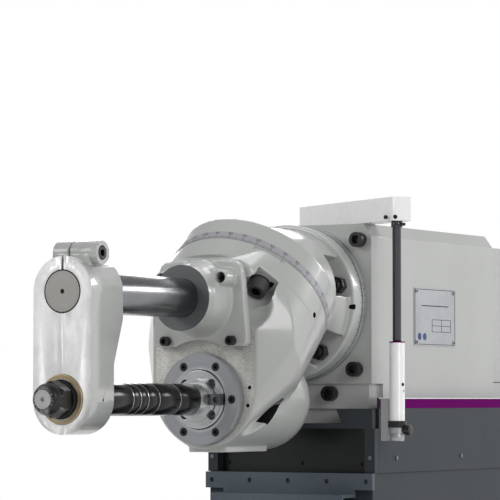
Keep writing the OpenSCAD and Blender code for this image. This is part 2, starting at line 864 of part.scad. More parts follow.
module table_screw() {
    end = table_len / 2 + end_t + 38;
    color(dark_steel) along_x(-end, end, screw_r, -table_y, table_screw_z);
}

module table_wheels() {
    x = table_len / 2 + end_t + 8 + gap;
    for (s = [0, 1]) mirror([s, 0, 0]) translate([x, -table_y, table_screw_z]) rotate([0, 90, 0]) {
        color(steel) handwheel(wheel_r, screw_r + fit);
        color(black) rotate([0, 0, -50 + 180 * s]) translate([wheel_r - 8, 0, 17]) grip(grip_r, 75);
    }
}

// Outline of the ram from the front, with its chamfered top edges
module ram_outline(low) {
    polygon([[-ram_hw, low], [-ram_hw, roof_z - 20.5], [-ram_hw + 14.5, roof_z],
        [ram_hw - 14.5, roof_z], [ram_hw, roof_z - 20.5], [ram_hw, low]]);
}

module ram() {
    y0 = plate_y + plate_t;
    color(paint) difference() {
        union() {
            extrude_y(y0, ram_end_y) ram_outline(rail_z + gap);
            block([-ram_hw + 16, ram_end_y - 1, rail_z + gap],
                [ram_hw - 16, tail_y + tail_len, spindle_h + 29]);
            extrude_y(tail_y, tail_y + tail_len) polygon([[-tail_waist, rail_z],
                [-tail_foot, rail_z - tail_d], [tail_foot, rail_z - tail_d], [tail_waist, rail_z]]);
            block([-tail_waist, y0, rail_z - 1], [tail_waist, tail_y + tail_len, rail_z + 1]);
            along_z(roof_z - 10, roof_z + 26, 8, pivot_x, pivot_y);
        }
        along_y(y0 - 1, ram_end_y - 20, ram_bore_r, 0, swivel_z);
        along_y(y0, ram_end_y + 1, 24, 0, swivel_z);
    }
}

module ram_plate() {
    step_z = spindle_h + 25;
    color(paint) difference() {
        union() {
            extrude_y(plate_y, plate_y + plate_t) ram_outline(step_z);
            block([-ram_hw + 6, plate_y + 3, rail_z + gap], [ram_hw - 6, plate_y + plate_t, step_z + 1]);
        }
        along_y(plate_y - 1, plate_y + plate_t + 1, 15 + fit, 0, swivel_z);
        for (p = plate_screws) along_y(plate_y - 1, plate_y + 22, 8 + fit, p[0], spindle_h + p[1]);
    }
}

module ram_ring() {
    color(alloy) difference() {
        along_y(flange_y + gap, plate_y, flange_r + 1, 0, swivel_z);
        along_y(flange_y - 1, plate_y + 1, 60, 0, swivel_z);
    }
}

module ram_screws() {
    color(black) for (p = plate_screws)
        cap_screw_y(16, 16, p[0], plate_y + (p[1] < 25 ? 3 : 0), spindle_h + p[1]);
}

module nameplate() {
    color(alloy) block([ram_hw, plate_y + 144, spindle_h + 88],
        [ram_hw + 1.2, plate_y + 291, spindle_h + 183]);
    color(steel) for (y = [151, 284], z = [94, 177])
        along_x(ram_hw + 1.2, ram_hw + 2.6, 3.5, plate_y + y, spindle_h + z);
}

module gearbox() {
    low = spindle_h + 30;
    wall = 18;
    color(paint) difference() {
        block([-box_hw, ram_end_y, low], [box_hw, box_end_y, roof_z - 18]);
        block([-box_hw + wall, ram_end_y + wall, low + wall],
            [box_hw - wall, box_end_y - wall, roof_z - 18 - wall]);
        along_y(ram_end_y - 1, ram_end_y + wall + 1, 15 + fit, 0, swivel_z);
        along_y(box_end_y - wall - 1, box_end_y + 1, 12 + fit, 0, motor_z);
        along_x(-box_hw - 1, -box_hw + wall + 1, 8 + fit, speed_y, speed_z);
    }
}

module speed_lever() {
    color(black) {
        along_x(-box_hw - 22, -box_hw + 24, 8, speed_y, speed_z);
        along_x(-box_hw - 22, -box_hw - gap, 16, speed_y, speed_z);
        translate([-box_hw - 14, speed_y, speed_z]) {
            rotate([200, 0, 0]) cylinder(r = 6, h = 80);
            rotate([200, 0, 0]) translate([0, 0, 84]) sphere(r = 13);
        }
    }
}

module motor() {
    y0 = box_end_y;
    color(dark_steel) difference() {
        union() {
            along_y(y0, y0 + 14, motor_r + 8, 0, motor_z);
            along_y(y0 + 13, y0 + motor_len, motor_r, 0, motor_z);
            along_y(y0 + motor_len - 60, y0 + motor_len, motor_r + 3, 0, motor_z);
            block([motor_r - 24, y0 + 50, motor_z - 40], [motor_r + 38, y0 + 140, motor_z + 40]);
        }
        along_y(y0 + 22, y0 + motor_len - 14, motor_r - 20, 0, motor_z);
        along_y(y0 - 1, y0 + 23, 12 + fit, 0, motor_z);
    }
}

module motor_rotor() {
    y0 = box_end_y;
    color(steel) {
        along_y(y0 - motor_reach, y0 + motor_len - 24, 12, 0, motor_z);
        along_y(y0 + 50, y0 + 170, 62, 0, motor_z);
        translate([0, 0, motor_z]) extrude_y(y0 - motor_reach + 4, y0 - motor_reach + 24)
            rotate(90 + 180 / pinion_n) gear_outline(pinion_n, gear_m);
    }
    color(black) for (a = [0 : 60 : 300]) translate([0, 0, motor_z]) rotate([0, a, 0])
        block([-3, y0 + motor_len - 50, 10], [3, y0 + motor_len - 26, 70]);
}

module drive_shaft() {
    y0 = box_end_y;
    color(steel) {
        along_y(seam_y + cone_d - 1, y0 - 25, 15, 0, swivel_z);
        translate([0, 0, swivel_z]) extrude_y(y0 - 68, y0 - 52) rotate(-90) gear_outline(wheel_n, gear_m);
        translate([0, seam_y + cone_d, swivel_z]) rotate([90, 0, 0])
            bevel(joint_gear_r, cone_half, 14, 12, 24);
    }
}

module ram_crank() {
    x = -col_hw - panel_t;
    color(steel) {
        along_x(x - 40, -tail_foot + 30, 12, rack_y, rack_z);
        along_x(-tail_foot + 30, -tail_foot + 60, rack_r, rack_y, rack_z);
        along_x(x - 40, x - 8, 22, rack_y, rack_z);
        for (a = [0, 120, 240]) translate([x - 24, rack_y, rack_z]) rotate([a + 20, 0, 0])
            cylinder(r = 6, h = 95);
    }
    color(black) for (a = [0, 120, 240]) translate([x - 24, rack_y, rack_z]) rotate([a + 20, 0, 0])
        translate([0, 0, 98]) sphere(r = 14);
}

module rear_swivel() {
    y1 = flange_y - flange_t;
    color(paint) difference() {
        union() {
            on_slant() translate([0, 0, -band_w]) cylinder(r = seam_r, h = band_w - gap / 2, $fn = 128);
            along_y(y1, flange_y, flange_r, 0, swivel_z);
            hull() {
                on_slant() translate([0, 0, 1 - band_w]) cylinder(r = seam_r - 10, h = 2, $fn = 96);
                along_y(y1 - 2, y1 + 2, flange_r - 8, 0, swivel_z);
            }
        }
        for (a = nut_angles) translate([0, 0, swivel_z]) rotate([0, a < 180 ? a - 6 : a + 6, 0])
            block([-34, y1 - 46, nut_pcr - 20], [34, nut_seat_y, nut_pcr + 60]);
        for (a = nut_angles) translate([0, 0, swivel_z]) rotate([0, a, 0])
            along_y(y1 - 1, flange_y + 1, 8 + fit, 0, nut_pcr);
        translate([0, seam_y, swivel_z]) sphere(r = 72);
        along_y(seam_y, y1 - 10, 44, 0, swivel_z);
        along_y(seam_y, flange_y + 1, 15 + fit, 0, swivel_z);
    }
}

module swivel_nuts() {
    color(black) for (a = nut_angles) translate([0, 0, swivel_z]) rotate([0, a, 0])
        translate([0, nut_seat_y, nut_pcr]) rotate([90, 0, 0]) {
            hexagon(24, 13);
            translate([0, 0, -20]) cylinder(r = 8, h = 40, $fn = 32);
        }
}

module slant_shaft() {
    color(steel) on_slant() {
        translate([0, 0, cone_d]) rotate([180, 0, 0]) bevel(joint_gear_r, cone_half, 14, 12, 24);
        translate([0, 0, cone_d - 1]) cylinder(r = 14, h = apex_s - low_cone_d - cone_d + 2);
        translate([0, 0, apex_s - low_cone_d]) bevel(low_gear_r, cone_half, 8, 10, 16);
    }
}

module counter_shaft() {
    color(steel) {
        along_y(face_y + 10, apex_y - low_cone_d, 12, 0, counter_z);
        translate([0, apex_y - low_cone_d, counter_z]) rotate([-90, 0, 0])
            bevel(low_gear_r, cone_half, 8, 10, 16);
        translate([0, 0, counter_z]) extrude_y(gear_y0, gear_y0 + gear_w) rotate(-90 + 180 / counter_n)
            gear_outline(counter_n, head_m);
    }
}

module head_casting() {
    low_z = spindle_h + face_rise;
    color(paint) difference() {
        union() {
            intersection() {
                on_slant() translate([0, 0, gap / 2]) cylinder(r = seam_r, h = 36, $fn = 128);
                block([-200, face_y, spindle_h - 200], [200, 100, roof_z + 100]);
            }
            hull() {
                intersection() {
                    on_slant() translate([0, 0, gap / 2 + 1]) cylinder(r = seam_r - 0.5, h = 105, $fn = 96);
                    block([-200, face_y + 46, spindle_h - 200], [200, 100, roof_z + 100]);
                }
                extrude_y(face_y, face_y + 6) union() {
                    translate([0, low_z]) circle(r = face_hw);
                    polygon([[-face_hw, low_z], [-face_hw, spindle_h + 105], [-80, spindle_h + 200],
                        [-60, spindle_h + 212], [60, spindle_h + 212], [80, spindle_h + 200],
                        [face_hw, spindle_h + 105], [face_hw, low_z]]);
                }
            }
            along_y(face_y + 5, housing_y, housing_r, 0, spindle_h);
            translate([0, housing_y, spindle_h]) sphere(r = housing_r);
            block([-34, face_y + 8, spindle_h - housing_r - 1.5], [34, face_y + 130, spindle_h]);
        }
        for (a = clamp_angles) on_slant() rotate([0, 0, a]) {
            translate([clamp_pcr, 0, clamp_s]) cylinder(r = 17, h = 240);
            translate([clamp_pcr, 0, -1]) cylinder(r = 8 + fit, h = clamp_s + 2);
            if (a < 180) translate([clamp_pcr + 11, 0, clamp_s]) cylinder(r = scoop_r, h = 34);
        }
        along_y(face_y - 1, housing_y - 9, seat_r, 0, spindle_h);
        along_y(gear_y0 - 4, gear_y0 + gear_w + 16, counter_n * head_m / 2 + 5, 0, counter_z);
        along_y(face_y + 10, gear_y0, 12 + fit, 0, counter_z);
        difference() {
            translate([0, seam_y, swivel_z]) sphere(r = 72);
            on_slant() difference() {
                translate([0, 0, web_s]) cylinder(r = 74, h = 10);
                translate([0, 0, web_s - 1]) cylinder(r = 14 + fit, h = 12);
            }
        }
        for (s = [-1, 1], p = [low_screw, top_screw])
            along_y(face_y - 1, face_y + 18, 5, s * p[0], spindle_h + p[1]);
        for (a = [0 : 60 : 300]) translate([0, 0, spindle_h]) rotate([0, a, 0])
            along_y(face_y - 1, face_y + 12, 4 + fit, 57, 0);
    }
}

module head_screws() {
    color(black) {
        on_slant() for (a = clamp_angles) rotate([0, 0, a])
            translate([clamp_pcr, 0, clamp_s]) cap_screw(16, 36);
        for (s = [-1, 1]) {
            cap_screw_y(10, bracket_t + 12, s * low_screw[0], bracket_y, spindle_h + low_screw[1]);
            cap_screw_y(10, bracket_t + pad_t + 12, s * top_screw[0], bracket_y - pad_t,
                spindle_h + top_screw[1]);
        }
        for (a = [0 : 60 : 300]) translate([0, 0, spindle_h]) rotate([0, a, 0])
            translate([57, face_y - cover_t + 6, 0]) rotate([90, 0, 0]) {
                difference() {
                    translate([0, 0, -16]) cylinder(d = 8, h = 18, $fn = 32);
                    cylinder(d = 6, h = 8, $fn = 6);
                }
                difference() {
                    cylinder(d = 13, h = 5.5, $fn = 32);
                    translate([0, 0, 1]) cylinder(d = 7, h = 8, $fn = 6);
                }
            }
    }
}

module bearing_cover() {
    color(alloy) difference() {
        along_y(face_y - cover_t, face_y, cover_r, 0, spindle_h);
        along_y(face_y - cover_t - 1, face_y + 1, nose_r + 1.5, 0, spindle_h);
        for (a = [0 : 60 : 300]) translate([0, 0, spindle_h]) rotate([0, a, 0]) {
            along_y(face_y - cover_t - 1, face_y - cover_t + 6, 6.6, 57, 0);
            along_y(face_y - cover_t - 1, face_y + 1, 4, 57, 0);
        }
    }
}

module overarm_bracket() {
    z = spindle_h + bar_rise;
    half = [[78, 80], [83, 85], [83.5, 97], [74, 195], [70, 204], [62, 210], [36, 213]];
    color(paint) difference() {
        union() {
            extrude_y(bracket_y, face_y) polygon(concat([for (p = half) [p[0], spindle_h + p[1]]],
                [for (i = [len(half) - 1 : -1 : 0]) [-half[i][0], spindle_h + half[i][1]]]));
            along_y(boss_y, bracket_y, boss_r, 0, z);
            translate([0, boss_y + 12, z]) rotate([-90, 0, 0])
                cylinder(r1 = boss_r - 1, r2 = boss_r + 9, h = boss_t - 12);
            for (x = [-1, 1])
                along_y(bracket_y - pad_t, bracket_y, 12, x * top_screw[0], spindle_h + top_screw[1]);
        }
        along_y(boss_y - 1, face_y + 1, bar_r + fit, 0, z);
        along_y(bracket_y - 1, face_y + 1, cover_r + 10, 0, spindle_h);
        for (s = [-1, 1], p = [low_screw, top_screw]) {
            along_y(bracket_y - 9, face_y + 1, 5, s * p[0], spindle_h + p[1]);
            along_y(bracket_y - 40, bracket_y - (p[1] > 100 ? pad_t : 0), 8.5, s * p[0], spindle_h + p[1]);
        }
    }
}

module overarm_bar() {
    z = spindle_h + bar_rise;
    color(steel) translate([0, front_y, z]) rotate([-90, 0, 0]) rotate_extrude()
        polygon([[0, 5], [4, 1], [5, 0], [bar_r - 2, 0], [bar_r, 2], [bar_r, face_y - front_y - 1],
            [0, face_y - front_y - 1]]);
}

module spindle_bearings() {
    color(steel) for (y = [face_y + 16, housing_y - 36]) difference() {
        along_y(y, y + 24, seat_r - 0.02, 0, spindle_h);
        along_y(y - 1, y + 25, shaft_r + fit, 0, spindle_h);
    }
}

module spindle() {
    color(steel) difference() {
        union() {
            along_y(nose_y, face_y + 14, nose_r, 0, spindle_h);
            along_y(face_y + 13, housing_y - 10, shaft_r, 0, spindle_h);
            translate([0, 0, spindle_h]) extrude_y(gear_y0, gear_y0 + gear_w) rotate(90)
                gear_outline(spindle_n, head_m);
        }
        translate([0, nose_y - 0.1, spindle_h]) rotate([-90, 0, 0])
            cylinder(r1 = taper_r, r2 = taper_r - taper_len * 7 / 48, h = taper_len + 0.1);
        along_y(nose_y, housing_y - 9, 8.5, 0, spindle_h);
        for (a = [45 : 90 : 315]) translate([0, 0, spindle_h]) rotate([0, a, 0])
            along_y(nose_y - 1, nose_y + 25, nose_hole_d / 2, nose_pcd / 2, 0);
        for (s = [-1, 1]) block([s * 36 - 12, nose_y - 1, spindle_h - key_w / 2],
            [s * 36 + 12, nose_y + 9, spindle_h + key_w / 2]);
    }
}

module drive_keys() {
    color(dark_steel) for (s = [-1, 1]) difference() {
        block([s * 34.5 - 9.5, nose_y - 8, spindle_h - key_w / 2],
            [s * 34.5 + 9.5, nose_y + 9, spindle_h + key_w / 2]);
        along_y(nose_y - 9, nose_y - 3, 4.5, s * 36, spindle_h);
    }
}

module arbor() {
    small = taper_r - fit - taper_len * 7 / 48;
    color(steel) difference() {
        translate([0, 0, spindle_h]) union() {
            along_y(journal_y - nut_t - 8, nose_y - 20, arbor_r);
            along_y(nose_y - 30, nose_y - 12, spacer_r + 1);
            along_y(nose_y - 12, nose_y - 2, arbor_flange_r);
            along_y(nose_y - 3, nose_y, taper_r - fit);
            translate([0, nose_y - 0.1, 0]) rotate([-90, 0, 0])
                cylinder(r1 = taper_r - fit, r2 = small, h = taper_len - 2);
        }
        for (s = [-1, 1]) block([s * 36 - 12.2, nose_y - 13, spindle_h - key_w / 2 - 0.3],
            [s * 36 + 12.2, nose_y - 1, spindle_h + key_w / 2 + 0.3]);
        along_y(journal_y - nut_t - 9, journal_y - nut_t - 3, 3, 0, spindle_h);
    }
}

module spacers() {
    rear = nose_y - 30;
    low = front_y + sup_low_t + 3;
    ends = [for (i = 0, y = rear; i < len(spacer_lengths); y = y - spacer_lengths[i], i = i + 1) y];
    last = ends[len(ends) - 1] - spacer_lengths[len(ends) - 1];
    module collar(y0, y1, r) {
        difference() {
            along_y(y0 + spacer_gap, y1, r, 0, spindle_h);
            along_y(y0, y1 + 1, arbor_r + fit, 0, spindle_h);
        }
    }
    color(black) {
        for (i = [0 : len(ends) - 1]) collar(ends[i] - spacer_lengths[i], ends[i], spacer_r);
        collar(low, last, spacer_r);
    }
    color(dark_steel) collar(journal_y, low, journal_r);
}

module arbor_nut() {
    color(black) translate([0, 0, spindle_h]) difference() {
        rotate([90, 0, 0]) translate([0, 0, -journal_y]) hexagon(nut_af, nut_t);
        along_y(journal_y - nut_t - 1, journal_y + 1, arbor_r + fit);
    }
}

module arbor_support() {
    z1 = spindle_h + bar_rise;
    color(paint) difference() {
        union() {
            along_y(front_y, front_y + sup_low_t, sup_r, 0, spindle_h);
            along_y(front_y, front_y + sup_t, sup_r, 0, z1);
            block([-sup_r, front_y, spindle_h], [sup_r, front_y + sup_low_t, z1]);
            extrude_x(-sup_r, sup_r) polygon([[front_y + 1, z1], [front_y + sup_t, z1],
                [front_y + sup_t, z1 - 38], [front_y + sup_low_t, z1 - 103], [front_y + 1, z1 - 103]]);
            along_x(-28, 34, 17, lug_y, lug_z);
            block([-28, lug_y - 17, z1 + 20], [34, lug_y + 17, lug_z]);
        }
        along_y(front_y - 1, front_y + sup_t + 1, bar_r + fit, 0, z1);
        along_y(front_y - 1, front_y + sup_t + 1, bush_r, 0, spindle_h);
        block([-2, front_y - 1, z1], [2, front_y + sup_t + 1, lug_z + 20]);
        along_x(-29, 35, 6 + fit, lug_y, lug_z);
    }
}

module support_bush() {
    color(bronze) difference() {
        along_y(front_y - 3, front_y + sup_low_t + 2, bush_r - 0.02, 0, spindle_h);
        along_y(front_y - 4, front_y + sup_low_t + 3, journal_r + fit, 0, spindle_h);
    }
}

module support_screw() {
    color(black) translate([34, lug_y, lug_z]) rotate([0, 90, 0]) cap_screw(12, 60);
}

module guard_arm() {
    color(white) difference() {
        translate([pivot_x, pivot_y, arm_z]) rotate([0, 0, arm_angle])
            rounded_block([-24, -arm_w / 2, 0], [arm_len + arm_w / 2, arm_w / 2, arm_h], 3);
        along_z(arm_z - 1, roof_z + 27, 8 + fit, pivot_x, pivot_y);
        along_z(arm_z - 1, arm_z + 30, rod_r, post_x, post_y);
    }
}

module guard_rod() {
    color(black) {
        along_z(tube_low_z + 6, arm_z + 29, rod_r - 0.02, post_x, post_y);
        along_z(arm_z - 10, arm_z, rod_r + 2, post_x, post_y);
        along_x(post_x + rod_r, post_x + rod_r + 8, 2.5, post_y, arm_z - 5);
    }
}

module guard_tube() {
    color(white) difference() {
        along_z(tube_low_z, tube_top_z, tube_r, post_x, post_y);
        along_z(tube_low_z + 4, tube_top_z + 1, rod_r + fit, post_x, post_y);
        along_x(post_x, post_x + 20, 2.5, post_y, tube_low_z + 55);
    }
    color(black) difference() {
        along_z(tube_low_z - 11, tube_low_z, tube_r + 1, post_x, post_y);
        along_x(post_x + 2, post_x + 20, 4 + fit, post_y, tube_low_z - 5.5);
    }
}

module guard_plate() {
    color(alloy) {
        along_z(tube_low_z - 23, tube_low_z - 11, tube_r - 1, post_x, post_y);
        block([post_x - 28, post_y - 3, tube_low_z - 23], [post_x, post_y + 3, tube_low_z - 11]);
        block([post_x - 28, post_y - 3, tube_low_z - 12],
            [post_x - tube_r - 1.5, post_y + 3, tube_low_z + 44]);
    }
}

module guard_knob() {
    color(black) {
        along_x(post_x + 4, post_x + 22, 4, post_y, tube_low_z - 5.5);
        along_x(post_x + tube_r + 1 + gap, post_x + 24, 8, post_y, tube_low_z - 5.5);
    }
}

base();
column();
side_panels();
front_cover();
way_apron();
base_nut();
electrics();
control_box();
main_switch();
start_button();
stop_button();
rear_door();
door_latch();
knee();
knee_screw();
knee_crank();
knee_lock();
saddle();
saddle_screw();
saddle_wheel();
swivel_base();
table();
table_brackets();
table_screw();
table_wheels();
table_lock();
ram();
ram_plate();
ram_ring();
ram_screws();
nameplate();
gearbox();
speed_lever();
motor();
motor_rotor();
drive_shaft();
ram_crank();
rear_swivel();
swivel_nuts();
slant_shaft();
head_casting();
head_screws();
bearing_cover();
overarm_bracket();
overarm_bar();
spindle_bearings();
counter_shaft();
spindle();
drive_keys();
arbor();
spacers();
arbor_nut();
arbor_support();
support_bush();
support_screw();
guard_arm();
guard_rod();
guard_tube();
guard_plate();
guard_knob();
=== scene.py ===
import json
import math

import bmesh
import bpy
from bpy.props import FloatProperty, FloatVectorProperty, PointerProperty
from mathutils import Matrix, Vector


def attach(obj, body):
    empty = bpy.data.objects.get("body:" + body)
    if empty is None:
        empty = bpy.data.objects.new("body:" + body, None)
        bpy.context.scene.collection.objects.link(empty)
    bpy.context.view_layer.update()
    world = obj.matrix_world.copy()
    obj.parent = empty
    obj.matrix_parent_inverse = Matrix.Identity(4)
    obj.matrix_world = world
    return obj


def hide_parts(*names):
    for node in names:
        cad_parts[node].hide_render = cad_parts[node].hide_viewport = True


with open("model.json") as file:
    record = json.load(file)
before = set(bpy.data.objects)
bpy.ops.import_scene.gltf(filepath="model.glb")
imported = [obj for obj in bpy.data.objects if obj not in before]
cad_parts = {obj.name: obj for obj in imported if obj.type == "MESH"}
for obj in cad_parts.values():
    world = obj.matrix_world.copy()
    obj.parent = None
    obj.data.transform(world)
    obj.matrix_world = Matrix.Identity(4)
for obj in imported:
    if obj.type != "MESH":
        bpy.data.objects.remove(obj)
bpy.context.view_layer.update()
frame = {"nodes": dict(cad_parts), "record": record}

bl_info = {
    "name": "Universal milling machine",
    "version": (1, 0, 0),
    "blender": (4, 5, 0),
    "location": "3D View > Sidebar > Milling machine",
    "description": "Dresses the packed machine in its castings, finishes, scales and trim",
    "category": "Object",
}

MM = 0.001
NODE_SLOT = {part["node"]: part["material_slot"] for part in frame["record"]["subparts"]}

# Main places of the machine in millimetres, in the frame's own axes
SPINDLE_Z = 1480.0
BAR_Z = SPINDLE_Z + 153
MOTOR_Z = SPINDLE_Z + 90
SWIVEL_Z = 1634.0
SEAM_Y = -136.5
SEAM_R = 132.5
SEAM_BORE = 74
CLAMP = 74.25  # of the slanted joint's bolts, from its centre both ways
FACE_Y = -259.0
FLANGE_Y = 15.0
BRACKET_Y = -326.0
SUPPORT_Y = -640.0
TABLE_Y = -290.0
SPINDLE = (0, 0, SPINDLE_Z)
BAR = (0, 0, BAR_Z)
SLANT = Matrix.Translation((0, SEAM_Y, SWIVEL_Z)) @ Matrix.Rotation(math.radians(135), 4, "X")
SIDES = (1, -1)

WHITE = (1, 1, 1, 1)


def colour(text):
    """A hexadecimal sRGB colour as linear values with alpha."""
    parts = [int(text[i:i + 2], 16) / 255 for i in (0, 2, 4)]
    return tuple(c / 12.92 if c < 0.04045 else ((c + 0.055) / 1.055) ** 2.4
                 for c in parts) + (1.0,)


# ---- Shader maths


class Value:
    """A number that differs over a surface; Python's operators add its Math nodes."""

    def __init__(self, finish, socket):
        self.finish, self.socket = finish, socket

    def made(self, operation, first, second):
        node = self.finish.node("ShaderNodeMath", {"operation": operation}, {0: first, 1: second})
        return Value(self.finish, node.outputs[0])

    def __add__(self, other):
        return self.made("ADD", self, other)

    def __sub__(self, other):
        return self.made("SUBTRACT", self, other)

    def __rsub__(self, other):
        return self.made("SUBTRACT", other, self)

    def __mul__(self, other):
        return self.made("MULTIPLY", self, other)

    def __pow__(self, other):
        return self.made("POWER", self, other)

    __radd__ = __add__

    def highest(self, other):
        return self.made("MAXIMUM", self, other)

    def ramp(self, low, high, out_low=0.0, out_high=1.0):
        """Runs smoothly from out_low at low to out_high at high."""
        node = self.finish.node("ShaderNodeMapRange", {"interpolation_type": "SMOOTHSTEP"},
                                {"Value": self, "From Min": low, "From Max": high,
                                 "To Min": out_low, "To Max": out_high})
        return Value(self.finish, node.outputs["Result"])


def away(first, second):
    """The distance in metres from an axis that crosses two ordinates."""
    return (first * first + second * second) ** 0.5


class Nodes:
    """A node tree whose nodes all come from one method."""

    def __init__(self, tree):
        self.tree = tree
        tree.nodes.clear()

    def node(self, kind, settings=None, values=None):
        node = self.tree.nodes.new(kind)
        for name, setting in (settings or {}).items():
            setattr(node, name, setting)
        for name, value in (values or {}).items():
            self.feed(node.inputs[name], value)
        return node

    def feed(self, socket, value):
        value = getattr(value, "socket", value)
        if isinstance(value, bpy.types.NodeSocket):
            self.tree.links.new(value, socket)
        else:
            socket.default_value = value

    def axes(self, at):
        """The three ordinates of a vector."""
        split = self.node("ShaderNodeSeparateXYZ", values={0: at})
        return [Value(self, split.outputs[i]) for i in range(3)]

    def rays(self, *kinds):
        """1 for each of the kinds of ray, such as Camera, and 0 for the others."""
        path = self.node("ShaderNodeLightPath").outputs
        return [Value(self, path["Is %s Ray" % kind]) for kind in kinds]


class Finish(Nodes):
    """One material that ends in a Principled shader."""

    def __init__(self, name, **constants):
        self.material = bpy.data.materials.new(name)
        self.material.use_nodes = True
        super().__init__(self.material.node_tree)
        self.shader = self.node("ShaderNodeBsdfPrincipled")
        self.output = self.node("ShaderNodeOutputMaterial",
                                values={"Surface": self.shader.outputs[0]})
        self.place = self.node("ShaderNodeTexCoord").outputs["Object"]
        self.set(**constants)

    def set(self, **values):
        for name, value in values.items():
            self.feed(self.shader.inputs[name.replace("_", " ")], value)

    def moved(self, scale=(1, 1, 1), slant=0):
        """The place after a turn about Y in degrees and a stretch along each axis."""
        node = self.node("ShaderNodeMapping", values={
            "Vector": self.place, "Scale": scale, "Rotation": (0, math.radians(slant), 0)})
        return node.outputs[0]

    def noise(self, scale, detail=2.0, rough=0.5, at=None, warp=0.0):
        node = self.node("ShaderNodeTexNoise", values={
            "Vector": at or self.place, "Scale": scale, "Detail": detail, "Roughness": rough,
            "Distortion": warp})
        return Value(self, node.outputs["Fac"])

    def cells(self, scale):
        node = self.node("ShaderNodeTexVoronoi", values={"Vector": self.place, "Scale": scale})
        return Value(self, node.outputs["Distance"])

    def rings(self, radius, scale, detail=3):
        """Noise that changes with the radius alone, as a lathe tool leaves it."""
        at = self.node("ShaderNodeCombineXYZ", values={0: radius * scale})
        return self.noise(1.0, detail, 0.7, at=at.outputs[0])

    def edges(self):
        """0 in hollows, 0.5 on flat ground and 1 on edges."""
        return Value(self, self.node("ShaderNodeNewGeometry").outputs["Pointiness"])

    def mix(self, mask, first, second):
        node = self.node("ShaderNodeMix", {"data_type": "RGBA"}, {0: mask, 6: first, 7: second})
        return node.outputs[2]

    def bump(self, height, depth, strength=1.0, under=None):
        node = self.node("ShaderNodeBump", values={
            "Height": height, "Distance": depth, "Strength": strength})
        if under:
            self.feed(node.inputs["Normal"], under)
        return node.outputs[0]


# ---- Finishes


def shade(tint, share):
    """A colour made darker or lighter by a share."""
    return tuple(c * share for c in tint[:3]) + (1.0,)


def cast_paint(name, tint, gloss=0.26, grain=1.0, coat=0.5, shine=0.5):
    """Thick paint on filled castings: faint waves, orange peel, dust and painted shade in hollows.
    """
    f = Finish(name, Coat_Roughness=0.07, Coat_IOR=1.5, Specular_IOR_Level=shine)
    waves = f.noise(16, 3, 0.5)
    peel = f.noise(300, 2, 0.55)
    cloud = f.noise(5, 4, 0.6)
    dust = f.noise(60, 5, 0.7)
    body = f.mix(cloud.ramp(0.35, 0.7), tint, shade(tint, 0.93))
    # Painted shade: faces in hollows, found by pointiness, are darkened as if shade fell there
    hollow_shade = (0.5 - f.edges()).ramp(0.012, 0.08) * 0.45
    # The painted hollow shade and the real dust darken the paint together
    darkened = f.mix(hollow_shade + dust.ramp(0.62, 0.8) * 0.1, body, shade(tint, 0.45))
    f.set(Base_Color=darkened, Coat_Weight=coat,
          Roughness=gloss + cloud * 0.08 + dust.ramp(0.5, 0.8) * 0.06,
          Normal=f.bump(peel, 0.0001 * grain, 0.3, f.bump(waves, 0.002 * grain, 0.4)))
    return f.material


def mottled_iron(name, tint, rough=0.5):
    """Bare cast iron that was milled once: dark graphite flecks, bright flecks and soft stains."""
    f = Finish(name, Metallic=0.35)
    grain = f.noise(260, 4, 0.75)
    flecks = f.cells(330)
    stain = f.noise(16, 5, 0.62, warp=0.6)
    body = f.mix(stain.ramp(0.38, 0.66), tint, shade(tint, 0.8))
    graphite = (grain.ramp(0.5, 0.68) * 0.5).highest(flecks.ramp(0.28, 0.1) * 0.7)
    dark = f.mix(graphite, body, shade(tint, 0.3))
    light = f.mix(f.noise(410, 3, 0.7).ramp(0.56, 0.7) * 0.6, dark, shade(tint, 1.7))
    f.set(Base_Color=light, Roughness=rough + grain * 0.2, Normal=f.bump(grain, 0.00012, 0.6))
    return f.material


def ground_steel(name, tint, rough=0.22, metal=1.0, wear=0.5):
    """Ground metal with fine marks and a thin uneven film."""
    f = Finish(name, Metallic=metal)
    marks = f.noise(700, 3, 0.6, at=f.moved(scale=(1, 0.12, 1)))
    film = f.noise(18, 4, 0.6)
    darkened = f.mix(film.ramp(0.4, 0.75) * wear, tint, shade(tint, 0.72))
    f.set(Base_Color=f.mix(marks.ramp(0.35, 0.7) * 0.3, darkened, shade(tint, 0.78)),
          Roughness=rough + marks * 0.1 + film.ramp(0.45, 0.8) * 0.07,
          Normal=f.bump(marks, 0.000004, 0.4))
    return f.material


def turned_steel(name, tint, axis_z, rough=0.3, metal=1.0, rim=None):
    """Metal faced in a lathe round an axis along Y, with a polished rim inside a radius."""
    f = Finish(name, Metallic=metal)
    x, _, z = f.axes(f.place)
    radius = away(x, z - axis_z * MM)
    fine, broad = f.rings(radius, 1500), f.rings(radius, 330, 2)
    film = f.noise(30, 4, 0.6)
    body = f.mix(broad.ramp(0.35, 0.65) * 0.4, tint, shade(tint, 0.7))
    gloss = rough + fine * 0.14 + film.ramp(0.4, 0.8) * 0.08
    if rim:
        bright = radius.ramp(rim * MM + 0.0004, rim * MM - 0.0004)
        body = f.mix(bright, body, shade(tint, 1.7))
        gloss = gloss * (1 - bright * 0.6)
    f.set(Base_Color=f.mix(film.ramp(0.55, 0.8) * 0.3, body, shade(tint, 0.6)), Roughness=gloss,
          Normal=f.bump(fine, 0.000012, 0.5))
    return f.material


def rubbed_face(name, tint):
    """A milled face rubbed with emery: bright haze with long scratches at several slants."""
    f = Finish(name, Metallic=0.25)
    haze = f.noise(30, 5, 0.7, at=f.moved(scale=(1, 1, 0.6)))
    lines = [f.noise(430, 2, 0.6, at=f.moved(scale=(1, 1, 0.09), slant=slant)).ramp(0.6, 0.78)
             for slant in (6, -17, 63)]
    scratches = lines[0].highest(lines[1] * 0.8).highest(lines[2] * 0.5)
    body = f.mix(haze.ramp(0.38, 0.65), tint, shade(tint, 0.86))
    f.set(Base_Color=f.mix(scratches * 0.45, body, shade(tint, 0.6)),
          Roughness=0.34 + haze * 0.16, Normal=f.bump(scratches, 0.00002, 0.5))
    return f.material


